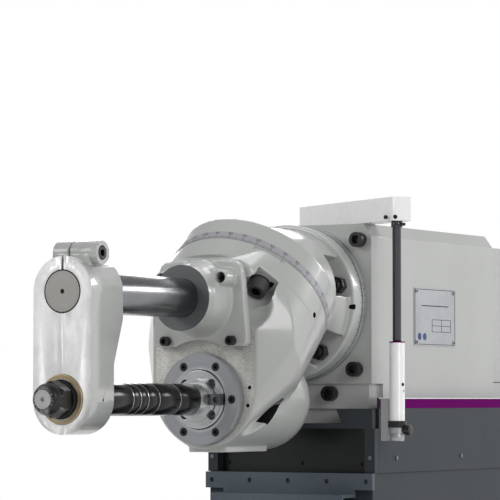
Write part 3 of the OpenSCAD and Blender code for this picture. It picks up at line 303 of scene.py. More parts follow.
def black_oxide(name, tint):
    """Blackened steel with rubbed edges and a breath of oil."""
    f = Finish(name, Metallic=0.15, Coat_Weight=0.12, Coat_Roughness=0.1)
    film = f.noise(70, 4, 0.6)
    rubbed = f.edges().ramp(0.54, 0.64)
    bare = (0.3, 0.3, 0.31, 1)
    f.set(Base_Color=f.mix(rubbed * 0.6 + film.ramp(0.6, 0.85) * 0.08, tint, bare),
          Roughness=0.34 + film * 0.14, Normal=f.bump(f.noise(500, 2), 0.00001, 0.4))
    return f.material


def smooth_plastic(name, tint, rough=0.3, coat=0.0, shine=0.5):
    """Moulded plastic or printed foil with a fine skin."""
    f = Finish(name, Coat_Weight=coat, Coat_Roughness=0.06, Specular_IOR_Level=shine)
    skin = f.noise(260, 3, 0.6)
    f.set(Base_Color=f.mix(f.noise(12, 3).ramp(0.4, 0.7) * 0.5, tint, shade(tint, 0.82)),
          Roughness=rough + skin * 0.1, Normal=f.bump(skin, 0.00002, 0.3))
    return f.material


FINISHES = {}

# Castings that keep all their triangles, because merging the faces spoils their notched fronts
NOTCHED = ("column", "ram")

# Nodes with a finer finish than their slot's own, and the way apron with a lit copy of its slate
# paint
OWN_FINISH = {"overarm_bar": "bar_steel", "arbor": "bright_steel", "bearing_cover": "cover_steel",
              "spacers": "gloss_black", "guard_rod": "rod_black", "table": "scraped_iron",
              "nameplate": "plate_foil", "saddle_wheel": "chrome", "table_wheels": "chrome",
              "ram_ring": "ring_steel", "way_apron": "lit_strip_paint"}


def make_finishes(looks):
    """Every finish by the name of its slot in the record, and the finer ones by use."""
    grey, slate, iron, violet = (tuple(tint) + (1,) for tint in (
        looks.grey, looks.slate, looks.iron, looks.violet))
    FINISHES.update({
        "grey_paint": cast_paint("Grey machine paint", grey),
        "slate_paint": cast_paint("Slate machine paint", slate, 0.36, 0.6, 0.04, 0.16),
        # A copy of the slate paint made 2.8 times lighter: painted front light on the way apron
        "lit_strip_paint": cast_paint("Slate paint lit for the front strip", shade(slate, 2.8), 0.36, 0.6, 0.04, 0.16),
        "white_paint": cast_paint("White enamel", colour("ffffff"), 0.22, 0.1, 0.3),
        "black_paint": cast_paint("Black enamel", colour("17191a"), 0.26, 0.3, 0.15, 0.3),
        "raw_iron": mottled_iron("Milled cast iron", iron),
        "scraped_iron": mottled_iron("Scraped table iron", colour("a3a4a3"), 0.34),
        "bright_steel": turned_steel("Bright turned steel", colour("cfd0d1"), SPINDLE_Z, 0.2, 0.9),
        "cover_steel": turned_steel("Satin cover steel", colour("9c9ea2"), SPINDLE_Z, 0.36, 0.55,
                                    49.5),
        "bar_steel": ground_steel("Ground bar steel", colour("88898c"), 0.16, wear=0.3),
        "bar_face": turned_steel("Faced bar end", colour("acaaa6"), BAR_Z, 0.3, 0.6),
        "rubbed_face": rubbed_face("Rubbed support face", colour("ffffff")),
        "dark_steel": ground_steel("Grey screw steel", colour("77797b"), 0.3),
        "black_steel": black_oxide("Blackened steel", colour("101112")),
        "gloss_black": smooth_plastic("Blued collars", colour("0d0d0e"), 0.14, shine=0.24),
        "rod_black": smooth_plastic("Dark rod", colour("26222b"), 0.2, coat=0.6),
        "chrome": ground_steel("Polished rim", colour("d0d1d2"), 0.08),
        "alloy": ground_steel("Satin alloy", colour("b4b6b9"), 0.36, metal=0.8),
        "ring_steel": ground_steel("Ring steel", colour("a8aaab"), 0.34, metal=0.2),
        "plate_foil": ground_steel("Anodised plate", colour("b0b2b6"), 0.3, metal=0.7),
        "bronze": turned_steel("Bearing bronze", colour("b5a483"), SPINDLE_Z, 0.26, 0.7),
        "red_plastic": smooth_plastic("Red plastic", colour("b4191b")),
        "green_plastic": smooth_plastic("Green plastic", colour("1c7a35")),
        "black_plastic": smooth_plastic("Black plastic", colour("1a1a1b")),
        "glass_green": smooth_plastic("Oil sight", colour("b8a23a"), 0.1, coat=0.8),
        "violet": smooth_plastic("Violet trim", violet, 0.5, shine=0.02),
        # A pale line painted along the top edge of the column's side sheets as the highlight it
        # catches
        "edge_highlight_paint": smooth_plastic("Painted top-edge highlight", colour("e6e6ea"), 0.4),
        "ink": smooth_plastic("Scale ink", colour("202126"), 0.6),
        "blue_ink": smooth_plastic("Blue ink", colour("1d3f7c"), 0.5),
        "scale_metal": ground_steel("Scale band", colour("a9a9ae"), 0.42, metal=0.2),
        "turned_dark": turned_steel("Bare turned iron", colour("66686a"), BAR_Z, 0.42, 0.6),
        # Near-black painted into holes, pockets and grooves as the shade inside them; the support's
        # gap rings and the plate's rivets use it too
        "hole": smooth_plastic("Painted hole shade", colour("0c0c0d"), 0.8),
    })


# ---- Mesh tools


def linked(name, mesh):
    piece = bpy.data.objects.new(name, mesh)
    bpy.context.scene.collection.objects.link(piece)
    return piece


def from_bmesh(name, bm):
    mesh = bpy.data.meshes.new(name)
    bm.normal_update()
    bm.to_mesh(mesh)
    bm.free()
    return linked(name, mesh)


def deleted(piece):
    mesh = piece.data
    bpy.data.objects.remove(piece)
    bpy.data.meshes.remove(mesh)


def settled(piece):
    """Turns the piece's modifiers into its mesh."""
    graph = bpy.context.evaluated_depsgraph_get()
    mesh = bpy.data.meshes.new_from_object(piece.evaluated_get(graph))
    old = piece.data
    piece.modifiers.clear()
    piece.data = mesh
    bpy.data.meshes.remove(old)
    return piece


def scaled(matrix):
    """A matrix in millimetres as one in metres."""
    out = matrix.copy()
    out.translation = matrix.translation * MM
    return out


def along(at, way):
    """The matrix of a place in millimetres whose Z axis runs along way."""
    return Matrix.Translation(at) @ Vector(way).to_track_quat("Z", "Y").to_matrix().to_4x4()


def turned(name, outline, at=(0, 0, 0), axis="Y", steps=96, matrix=None, closed=False):
    """A turned form from (radius, along) points, either end to end of the axis or a closed ring."""
    bm = bmesh.new()
    rings = []
    for radius, height in outline:
        angles = [2 * math.pi * i / steps for i in range(steps if radius > 1e-6 else 1)]
        rings.append([bm.verts.new((radius * MM * math.cos(a), radius * MM * math.sin(a),
                                    height * MM)) for a in angles])
    for low, high in zip(rings, rings[1:] + rings[:1] if closed else rings[1:]):
        for i in range(steps):
            j = (i + 1) % steps
            corner = [low[i % len(low)], low[j % len(low)],
                      high[j % len(high)], high[i % len(high)]]
            face = list(dict.fromkeys(corner))
            if len(face) > 2:
                bm.faces.new(face)
    for end, flip in ((rings[0], True), (rings[-1], False)):
        if len(end) > 1 and not closed:
            bm.faces.new(end[::-1] if flip else end)
    turn = {"X": Matrix.Rotation(math.radians(90), 4, "Y"), "Z": Matrix.Identity(4),
            "Y": Matrix.Rotation(math.radians(-90), 4, "X")}[axis]
    bm.transform(scaled(matrix) if matrix else Matrix.Translation(Vector(at) * MM) @ turn)
    bmesh.ops.recalc_face_normals(bm, faces=bm.faces)
    return from_bmesh(name, bm)


def rod(name, radius, low, high, *place, **more):
    """A plain cylinder between two places along its axis."""
    return turned(name, [(0, low), (radius, low), (radius, high), (0, high)], *place, **more)


def ring(name, inner, outer, low, high, *place, **more):
    """A flat or tall ring between two radii and two places along its axis."""
    outline = [(inner, low), (outer, low), (outer, high), (inner, high)]
    return turned(name, outline, *place, closed=True, **more)


def pin(name, at, way, radius, inside, outside=3, steps=24):
    """A pin or cutter along way through the point at, from inside below it to outside above."""
    return rod(name, radius, -inside, outside, matrix=along(at, way), steps=steps)


def prism(name, corners, way):
    """A closed form between the corners and the same corners moved along way."""
    bm = bmesh.new()
    near = [bm.verts.new(Vector(corner) * MM) for corner in corners]
    far = [bm.verts.new((Vector(corner) + Vector(way)) * MM) for corner in corners]
    bm.faces.new(near)
    bm.faces.new(far[::-1])
    for i in range(len(corners)):
        j = (i + 1) % len(corners)
        bm.faces.new((near[j], near[i], far[i], far[j]))
    bmesh.ops.recalc_face_normals(bm, faces=bm.faces)
    return from_bmesh(name, bm)


def drawn(name, points, y0, y1):
    """A closed form with the outline points (x, z), from y0 to y1."""
    return prism(name, [(x, y0, z) for x, z in points], (0, y1 - y0, 0))


def block(name, low, high):
    points = [(low[0], low[2]), (high[0], low[2]), (high[0], high[2]), (low[0], high[2])]
    return drawn(name, points, low[1], high[1])


def hexagon(name, across, low, high, at):
    """A hexagon along Y with a corner on top, its corners rounded by a cone at both ends."""
    r = across / math.sqrt(3)
    angles = [math.radians(90 + a) for a in range(0, 360, 60)]
    points = [(at[0] + r * math.cos(a), at[2] + r * math.sin(a)) for a in angles]
    body = drawn(name, points, low, high)
    edge = across / 2 * 0.97
    slope = r - edge
    cone = turned("cone", [(0, low - 1), (edge - 1, low - 1), (r + 0.5, low + slope),
                           (r + 0.5, high - slope), (edge - 1, high + 1), (0, high + 1)],
                  at=at, steps=64)
    return joined(body, [cone], "INTERSECT")


def dish(name, start, end, radius, tip):
    """A cutter from start, where it is a half ball of that radius, to end with the radius tip."""
    start, end = Vector(start), Vector(end)
    quarter = [math.pi / 2 * i / 10 for i in range(11)]
    arc = [(radius * math.sin(a), -radius * math.cos(a)) for a in quarter]
    length = (end - start).length
    return turned(name, arc + [(tip, length), (0, length)], steps=64,
                  matrix=along(start, end - start))


def node_copy(node, name):
    """A welded copy of a CAD node's mesh."""
    bm = bmesh.new()
    bm.from_mesh(frame["nodes"][node].data)
    bmesh.ops.remove_doubles(bm, verts=bm.verts, dist=1e-6)
    return from_bmesh(name, bm)


def joined(piece, others, operation="UNION"):
    """Adds, cuts or meets the piece with each other form, which is then gone."""
    for other in others:
        step = piece.modifiers.new("Join", "BOOLEAN")
        step.operation, step.solver, step.object = operation, "MANIFOLD", other
        step.material_mode = "TRANSFER"
        settled(piece)
        deleted(other)
    return piece


def cast(piece, voxel, rounds, keep):
    """Gives a form the soft corners and fillets of a casting."""
    remesh = piece.modifiers.new("Skin", "REMESH")
    remesh.mode, remesh.voxel_size = "VOXEL", voxel * MM
    smooth = piece.modifiers.new("Soft", "SMOOTH")
    smooth.factor, smooth.iterations = 0.5, rounds
    thin = piece.modifiers.new("Thin", "DECIMATE")
    thin.ratio = keep
    return settled(piece)


def bevelled(piece, width, angle=32):
    step = piece.modifiers.new("Edges", "BEVEL")
    step.width, step.segments, step.angle_limit = width * MM, 2, math.radians(angle)
    step.limit_method, step.miter_outer, step.use_clamp_overlap = "ANGLE", "MITER_ARC", True
    return piece


def shaded(piece, angle=35):
    piece.data.shade_smooth()
    piece.data.set_sharp_from_angle(angle=math.radians(angle))
    return piece


def group(name, pieces):
    """Makes one piece of several, with all their finishes."""
    bm = bmesh.new()
    finishes = []
    for piece in pieces:
        start = len(bm.faces)
        bm.from_mesh(piece.data)
        bm.faces.ensure_lookup_table()
        own = [m for m in piece.data.materials if m]
        for face in bm.faces[start:] if own else ():
            finish = own[face.material_index]
            if finish not in finishes:
                finishes.append(finish)
            face.material_index = finishes.index(finish)
        deleted(piece)
    whole = from_bmesh(name, bm)
    for finish in finishes:
        whole.data.materials.append(finish)
    return whole


def finished(piece, *finishes, choose=None):
    """Gives the piece its finishes; choose(centre, normal) in mm says which one a face has."""
    piece.data.materials.clear()
    for finish in finishes:
        piece.data.materials.append(FINISHES[finish])
    for face in piece.data.polygons:
        face.material_index = choose(face.center / MM, face.normal) if choose else 0
    return piece


def fitted(piece, body, slot, *replaced):
    """Ties the piece to its body and hides the nodes that it stands for; slot is not used."""
    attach(piece, body)
    if replaced:
        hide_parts(*replaced)
    return piece


def assembled(name, parts, finish, body, slot=None, angle=None, edge=None):
    """Makes one fitted piece of the parts with one finish, tied to its body; slot goes to
    fitted, which does not use it. Angle shades it smooth and edge bevels it."""
    piece = finished(group(name, parts), finish)
    if edge:
        bevelled(piece, edge)
    if angle:
        shaded(piece, angle)
    return fitted(piece, body, slot or finish)


# ---- Scales


def round_point(place, radius, turn, height):
    """A point of the cylinder about the place's Z axis, in metres."""
    return place @ (Vector((radius * math.cos(turn), radius * math.sin(turn), height)) * MM)


def scale(name, matrix, radius, start, way, tick, count=360, figure=0, first=0, last=None,
          label=None):
    """Marks round a cylinder from start along way, with a number at each tenth if figure is set."""
    bm = bmesh.new()
    place = scaled(matrix)
    for i in range(first, count if last is None else last):
        end = start + way * (7.5 if i % 10 == 0 else 5.5 if i % 5 == 0 else 3.6)
        turn, half = 2 * math.pi * i / count, tick * (0.5 if i % 5 == 0 else 0.35) / radius
        corners = [(turn - half, start), (turn + half, start), (turn + half, end),
                   (turn - half, end)]
        inner, outer = [[bm.verts.new(round_point(place, r, a, s)) for a, s in corners]
                        for r in (radius - 0.4, radius)]
        bm.faces.new(inner[::-1])
        bm.faces.new(outer)
        for k in range(4):
            j = (k + 1) % 4
            bm.faces.new((inner[k], inner[j], outer[j], outer[k]))
        if i % 10 == 0 and figure:
            text = label(i) if label else str(min(i, count - i) * 360 // count)
            wrap_text(bm, place, text, figure, radius, turn, start + way * 9, way)
    bmesh.ops.recalc_face_normals(bm, faces=bm.faces)
    return from_bmesh(name, bm)


LETTERS = {}
LETTER_HALF = 0.15


def text_mesh(text, figure):
    """The outline of a number as a thin mesh, centred, in millimetres."""
    if (text, figure) not in LETTERS:
        curve = bpy.data.curves.new("number", "FONT")
        curve.body, curve.size, curve.align_x = text, figure * 1.4, "CENTER"
        curve.extrude, curve.resolution_u = LETTER_HALF, 2
        letters = linked("number", curve)
        graph = bpy.context.evaluated_depsgraph_get()
        mesh = bpy.data.meshes.new_from_object(letters.evaluated_get(graph))
        bpy.data.objects.remove(letters)
        bpy.data.curves.remove(curve)
        LETTERS[text, figure] = ([v.co.copy() for v in mesh.vertices],
                                 [tuple(p.vertices) for p in mesh.polygons])
        bpy.data.meshes.remove(mesh)
    return LETTERS[text, figure]


def wrap_text(bm, place, text, figure, radius, turn, base, way):
    """Lays a number on the cylinder with its foot at base and its head along way."""
    points, faces = text_mesh(text, figure)
    made = [bm.verts.new(round_point(place, radius - LETTER_HALF + co.z,
                                     turn + way * co.x / radius, base + way * co.y))
            for co in points]
    for face in faces:
        bm.faces.new([made[i] for i in face])


# ---- Settings


def tint(name, description, text):
    return FloatVectorProperty(name=name, description="Colour of " + description,
                               subtype="COLOR", default=colour(text)[:3])


def amount(name, description, default, unit="NONE", least=0.0):
    return FloatProperty(name=name, description=description, default=default, min=least, unit=unit)


class MILLING_PG_looks(bpy.types.PropertyGroup):
    grey: tint("Grey paint", "the head and ram castings", "b7b9b7")
    slate: tint("Slate paint", "the base, column and knee", "363c41")
    iron: tint("Bare iron", "milled cast iron", "d0cfca")
    violet: tint("Trim", "the stripe along the column", "660060")
    floor: tint("Floor", "the floor", "f2f2f1")
    key: amount("Side lamp", "Power of the lamp on the right", 48, "POWER")
    fill: amount("Front lamp", "Power of the lamp on the left of the front", 44, "POWER")
    strip: amount("Strip lamp", "Power of the narrow lamp behind on the right", 24, "POWER")
    room: amount("Room light", "Strength of the light from all sides", 0.42)


class MILLING_PG_sizes(bpy.types.PropertyGroup):
    edge: amount("Edge", "Width of the small bevels on machined parts", 0.9 * MM, "LENGTH")
    voxel: amount("Skin", "Cell size of the castings' skin", 1.6 * MM, "LENGTH", 0.5 * MM)
    figure: amount("Figures", "Height of the figures on the scales", 5 * MM, "LENGTH", MM)
    tick: amount("Marks", "Width of the marks on the scales", 0.7 * MM, "LENGTH", 0.1 * MM)
    lens: amount("Lens", "Focal length of the camera", 208.8, least=1.0)


# ---- Stage


class Dresser:
    """What every piece's operator shares."""
    bl_options = {"REGISTER", "UNDO"}

    @property
    def looks(self):
        return bpy.context.scene.milling_looks

    @property
    def sizes(self):
        return bpy.context.scene.milling_sizes

    def engraved(self, name, body, *place, **more):
        """Puts an inked scale on a body."""
        marks = scale(name, *place, tick=self.sizes.tick / MM, **more)
        return fitted(finished(marks, "ink"), body, "alloy")


# The photo's camera in metres, and how far its picture is raised over its focal length in pixels
CAMERA_AT = (2.340, -4.0189, 1.480)
CAMERA_TURN = 31
RAISED, FOCAL = 149.5, 2900

# Name, place, target and size in metres, and the setting that gives the power with its share
LAMPS = (("side_lamp", (3.3, -1.5, 3.1), (0, 0, 1.45), (1.5, 1.7), "key", 1.0),
         ("front_lamp", (-2.2, -3.3, 3.3), (0, -0.1, 1.3), (2.2, 1.4), "fill", 1.0),
         ("top_lamp", (-0.4, 1.2, 4.4), (0, 0, 1.3), (2.4, 1.4), "fill", 0.8),
         ("back_lamp", (-2.4, 3.4, 2.6), (0, 0.2, 1.1), (2.2, 1.6), "fill", 0.8),
         ("strip_lamp", (1.65, 2.41, 2.65), (0, -0.5, 1.6), (1.6, 0.6), "strip", 1.0))


class MILLING_OT_stage(Dresser, bpy.types.Operator):
    """Sets the camera, the lamps, the floor and the pale surround."""
    bl_idname = "milling.stage"
    bl_label = "Stage"

    def execute(self, context):
        scene = context.scene
        scene.view_settings.view_transform = "Standard"
        self.camera(scene)
        for name, at, target, size, setting, share in LAMPS:
            lamp = bpy.data.objects.new(name, bpy.data.lights.new(name, "AREA"))
            lamp.data.shape, (lamp.data.size, lamp.data.size_y) = "RECTANGLE", size
            lamp.data.energy = getattr(self.looks, setting) * share
            lamp.location = at
            aim = Vector(target) - Vector(at)
            lamp.rotation_euler = aim.to_track_quat("-Z", "Y").to_euler()
            scene.collection.objects.link(lamp)
        self.surround(scene)
        self.floor()
        return {"FINISHED"}

    def camera(self, scene):
        camera = bpy.data.objects.new("camera", bpy.data.cameras.new("camera"))
        camera.data.lens, camera.data.sensor_width = self.sizes.lens, 36
        camera.data.clip_start, camera.data.clip_end = 0.1, 60
        camera.location = CAMERA_AT
        camera.rotation_euler = (math.radians(90) + math.atan(RAISED / FOCAL), 0,
                                 math.radians(CAMERA_TURN))
        scene.collection.objects.link(camera)
        scene.camera = camera

    def floor(self):
        """A pale floor that fades to white away from the machine where it is seen."""
        floor = rod("floor", 9000, -40, -1, axis="Z", steps=64)
        f = Finish("Workshop floor", Roughness=0.7, Specular_IOR_Level=0.2,
                   Base_Color=tuple(self.looks.floor) + (1,))
        x, y, _ = f.axes(f.place)
        far = away(x, y - 0.1).ramp(1.0, 3.4)
        camera, glossy, transmission = f.rays("Camera", "Glossy", "Transmission")
        seen = camera.highest(glossy).highest(transmission)
        white = f.node("ShaderNodeEmission", values={"Color": WHITE, "Strength": 1.0})
        both = f.node("ShaderNodeMixShader", values={
            0: far * seen, 1: f.shader.outputs[0], 2: white.outputs[0]})
        f.feed(f.output.inputs["Surface"], both.outputs[0])
        floor.data.materials.append(f.material)

    def surround(self, scene):
        """A world that is white where it is seen and behind the machine, and calmer as light."""
        scene.world = bpy.data.worlds.new("Surround")
        scene.world.use_nodes = True
        n = Nodes(scene.world.node_tree)
        camera, glossy, transmission = n.rays("Camera", "Glossy", "Transmission")
        _, y, z = n.axes(n.node("ShaderNodeTexCoord").outputs["Generated"])
        behind = y.ramp(-0.3, 0.7, 0.4, 1.0) * z.ramp(0.08, 0.5, 1.0, 0.35)
        light = (1 - glossy) * self.looks.room
        strength = camera.highest(transmission).highest(glossy * behind).highest(light)
        back = n.node("ShaderNodeBackground", values={"Color": WHITE, "Strength": strength})
        n.node("ShaderNodeOutputWorld", values={"Surface": back.outputs[0]})


class MILLING_OT_finishes(Dresser, bpy.types.Operator):
    """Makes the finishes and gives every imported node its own, with small bevels."""
    bl_idname = "milling.finishes"
    bl_label = "Finishes"

    def execute(self, context):
        make_finishes(self.looks)
        for name, node in frame["nodes"].items():
            for slot in node.material_slots:
                slot.material = FINISHES[OWN_FINISH.get(name, NODE_SLOT[name])]
            weld = node.modifiers.new("Weld", "WELD")
            weld.merge_threshold = 0.01 * MM
            if name not in NOTCHED:
                plane = node.modifiers.new("Planes", "DECIMATE")
                plane.decimate_type, plane.angle_limit = "DISSOLVE", math.radians(0.3)
            bevelled(node, self.sizes.edge / MM)
        return {"FINISHED"}


# ---- Castings


def face_outline(inset):
    """The head's front face from the spindle axis, drawn in by inset."""
    r, low = 93 - inset, 18
    arc = [(r * math.sin(math.radians(a)), low - r * math.cos(math.radians(a)))
           for a in range(90, -91, -6)]
    return arc + [(-r, 104), (-80 + inset, 199 - inset), (80 - inset, 199 - inset), (r, 104)]


def clamp_place(side, up):
    """The foot of a clamp bolt of the slanted joint."""
    return SLANT @ Matrix.Translation((side * CLAMP, up * CLAMP, 0))


class MILLING_OT_head(Dresser, bpy.types.Operator):
    """Casts the head: soft corners, spanner scoops, machined seam and bare front face."""
    bl_idname = "milling.head"
    bl_label = "Head casting"

    def execute(self, context):
        head = node_copy("head_casting", "head_body")
        joined(head, [ring("over", SEAM_BORE, SEAM_R, -5, 24, matrix=SLANT)])
        joined(head, [dish("scoop", SLANT @ Vector((side * 87, 87, 98)),
                           SLANT @ Vector((side * 96, 96, 190)), 37, 34) for side in SIDES],
               "DIFFERENCE")
        cast(head, self.sizes.voxel / MM, 8, 0.35)
        front = [(x, SPINDLE_Z + z) for x, z in face_outline(4.5)]
        cuts = [rod("seam", 150, -9, 0.15, matrix=SLANT),
                drawn("front", front, FACE_Y - 3, FACE_Y + 0.4)]
        for side in SIDES:
            pocket = [(side * 50, y, z) for y, z in ((-164, 1476), (-207, 1446), (-187, 1441.5))]
            cuts += [pin("hole", (side * 79.8, FACE_Y, 1498), (0, -1, 0), 3, 9),
                     pin("hole", (side * 76.8, FACE_Y, 1470.8), (0, -1, 0), 3, 9),
                     pin("hole", (side * 132.3, -152.5, 1609.5), (side, 0, 0), 4.5, 12),
                     pin("vent", (side * 94, -215.6, 1656.6), (side * 0.7, -0.7, 0.4), 3.2, 9),
                     prism("pocket", pocket, (side * 60, 0, 0)),
                     rod("well", 17.3, 39.7, 58, matrix=clamp_place(side, 1))]
        finished(head, "grey_paint")
        for cut in cuts:
            # The walls of the holes, vents, pockets and wells get the hole finish: painted shade
            # inside them
            finish = {"front": "raw_iron", "seam": "alloy"}.get(cut.name.split(".")[0], "hole")
            finished(cut, finish)
        joined(head, cuts, "DIFFERENCE")
        shaded(head, 40)
        fitted(head, "head", "grey_paint", "head_casting")
        bolt = [(0, 50), (7.4, 50), (7.4, 60.5), (14.2, 60.5), (15.4, 59.3), (15.4, 40.4),
                (0, 40.4)]
        bolts = [turned("bolt", bolt, steps=48, matrix=clamp_place(side, up))
                 for side in SIDES for up in SIDES]
        assembled("clamp_bolts", bolts, "black_steel", "head", angle=30)
        self.engraved("vernier", "head", SLANT, SEAM_R + 0.12, 1.2, 1, first=38, last=61)
        return {"FINISHED"}


class MILLING_OT_rear_swivel(Dresser, bpy.types.Operator):
    """Casts the rear swivel and puts its scale band beside the slanted seam."""
    bl_idname = "milling.rear_swivel"
    bl_label = "Rear swivel"

    def execute(self, context):
        swivel = node_copy("rear_swivel", "swivel_body")
        joined(swivel, [ring("over", SEAM_BORE, SEAM_R, -20, 5, matrix=SLANT)])
        cast(swivel, self.sizes.voxel / MM, 7, 0.35)
        faces = [rod("seam", 150, -0.15, 12, matrix=SLANT),
                 rod("flange", 150, FLANGE_Y, FLANGE_Y + 8, (0, 0, SWIVEL_Z))]
        holes = [pin("hole", (side * 124.8, -12.5, 1626), (side, 0, 0), 4.5, 12) for side in SIDES]
        cuts = [finished(cut, "grey_paint") for cut in faces]
        # The pin holes' walls get the hole finish: painted shade inside them
        cuts += [finished(cut, "hole") for cut in holes]
        joined(finished(swivel, "grey_paint"), cuts, "DIFFERENCE")
        fitted(shaded(swivel, 40), "rear_swivel", "grey_paint", "rear_swivel")
        band = ring("band", SEAM_R - 2, SEAM_R + 0.1, -15.5, -0.6, matrix=SLANT, steps=180)
        assembled("seam_scale_band", [band], "scale_metal", "rear_swivel", "alloy", 35)
        self.engraved("seam_scale", "rear_swivel", SLANT, SEAM_R + 0.14, -0.8, -1,
                      figure=self.sizes.figure / MM)
        upright = Matrix.Rotation(math.radians(-90), 4, "X")
        flange = Matrix.Translation((0, 0, SWIVEL_Z)) @ upright
        self.engraved("flange_scale", "rear_swivel", flange, 125.15, FLANGE_Y - 0.6, -1)
        self.engraved("ring_scale", "ram", flange, 126.12, FLANGE_Y + 1, 1, first=-14, last=15)
        return {"FINISHED"}


class MILLING_OT_bracket(Dresser, bpy.types.Operator):
    """Casts the overarm bracket with ridges to its top screws and a bare boss face."""
    bl_idname = "milling.bracket"
    bl_label = "Overarm bracket"

    def execute(self, context):
        upper_x, upper_z = 53, SPINDLE_Z + 184
        lower_x, lower_z = 58.5, SPINDLE_Z + 89
        bracket = node_copy("overarm_bracket", "bracket_body")
        ridges = []
        for side in SIDES:
            web = [(20, 20), (53, 19), (58, 31), (46, 45), (20, 45)]
            ridges += [turned("ridge", [(0, -300), (11, -300), (14, -270), (0, -270)],
                              at=(side * upper_x, 0, upper_z)),
                       drawn("web", [(side * x, BAR_Z + z) for x, z in web], -296, -270)]
        ridges.append(rod("boss", 50, BRACKET_Y - 5, -320, BAR))
        joined(bracket, ridges)
        cast(bracket, 1.3, 10, 0.4)
        cutters = [rod("face", 70, -340, BRACKET_Y, BAR),
                   rod("bore", 30.1, -340, -250, BAR),
                   block("seat", (-120, FACE_Y, 1500), (120, FACE_Y + 20, 1720)),
                   rod("arch", 91, -330, -250, SPINDLE)]
        for side in SIDES:
            cutters += [rod("spot", 8.6, -330, -282, (side * upper_x, 0, upper_z), steps=32),
                        rod("spot", 8.6, -300, -274.6, (side * lower_x, 0, lower_z), steps=32)]
        joined(bracket, cutters, "DIFFERENCE")
        finished(bracket, "grey_paint", "turned_dark",
                 choose=lambda c, n: int(n.y < -0.9 and abs(c.y - BRACKET_Y) < 0.3))
        fitted(shaded(bracket, 40), "head", "grey_paint", "overarm_bracket")
        return {"FINISHED"}


# ---- Arbor and support


class MILLING_OT_support(Dresser, bpy.types.Operator):
    """Makes the arbor support: rubbed face, sunk clamp screw, oil hole and faced bar end."""
    bl_idname = "milling.support"
    bl_label = "Arbor support"

    def execute(self, context):
        clamp_y, clamp_z = -607, 1688
        inside, sunk = SUPPORT_Y + 0.5, SUPPORT_Y - 2.5
        support = node_copy("arbor_support", "support_body")
        joined(support, [rod("lug", 17, 20, 46, (0, clamp_y, clamp_z), "X")])
        joined(support, [pin("sunk", (46, clamp_y, clamp_z), (1, 0, 0), 10.6, 12, steps=48),
                         pin("oil", (50, -610, 1479), (1, 0, 0), 2.2, 9)], "DIFFERENCE")
        settled(bevelled(support, 1.3, 40))
        finished(support, "grey_paint", "rubbed_face",
                 choose=lambda c, n: int(c.y < SUPPORT_Y + 0.1))
        fitted(shaded(support, 40), "support", "grey_paint", "arbor_support")
        gaps = [ring("gap", 30.1, 31.2, SUPPORT_Y - 0.12, inside, BAR),
                ring("gap", 35.4, 36.1, SUPPORT_Y - 0.12, inside, SPINDLE),
                ring("gap", 26.4, 28.3, SUPPORT_Y - 3.1, sunk, SPINDLE)]
        assembled("support_gaps", gaps, "hole", "support", "black_steel")
        lip = ring("lip", 28.3, 29.7, SUPPORT_Y - 3.5, sunk, SPINDLE, steps=128)
        assembled("bush_lip", [lip], "chrome", "support", "bright_steel", 35)
        # The bar end's centre hole and the ring round its rim take the near-black hole finish:
        # painted shade
        marks = [ring("edge", 29.2, 29.95, SUPPORT_Y - 0.25, inside, BAR),
                 rod("centre", 3.4, SUPPORT_Y - 0.3, SUPPORT_Y + 1, BAR)]
        assembled("bar_marks", marks, "hole", "head", "black_steel")
        face = ring("face", 3.4, 29.2, SUPPORT_Y - 0.22, SUPPORT_Y + 1, BAR, steps=128)
        assembled("bar_face", [face], "bar_face", "head", "bright_steel", 35)
        return {"FINISHED"}


class MILLING_OT_arbor(Dresser, bpy.types.Operator):
    """Makes the arbor nut with its round nose, the washer and the bright joints of the collars."""
    bl_idname = "milling.arbor"
    bl_label = "Arbor nut and collars"

    def execute(self, context):
        nut = hexagon("nut", 46, -672, -648, SPINDLE)
        nose = turned("nose", [(14.4, -686.5), (19.2, -684.4), (22.6, -678.5), (23, -673),
                               (22.4, -671.5), (0, -671.5), (0, -686.5)], SPINDLE, closed=True)
        joined(nut, [nose])
        joined(nut, [rod("bore", 13.9, -700, -640, SPINDLE)], "DIFFERENCE")
        nut.name = "nut_body"
        shaded(bevelled(finished(nut, "black_steel"), 0.8), 30)
        fitted(nut, "spindle", "black_steel", "arbor_nut")
        washer = ring("washer", 14.5, 26.4, -647.9, -643.4, SPINDLE)
        assembled("nut_washer", [washer], "black_steel", "spindle", angle=35, edge=0.5)
        joints, y = [], -308.0
        for length in (55, 58, 30, 20, 20):
            y -= length
            joints.append(ring("joint", 14, 24.15, y - 0.35, y + 0.55, SPINDLE))
        assembled("collar_joints", joints, "bright_steel", "spindle")
        return {"FINISHED"}


# ---- Trim and guard


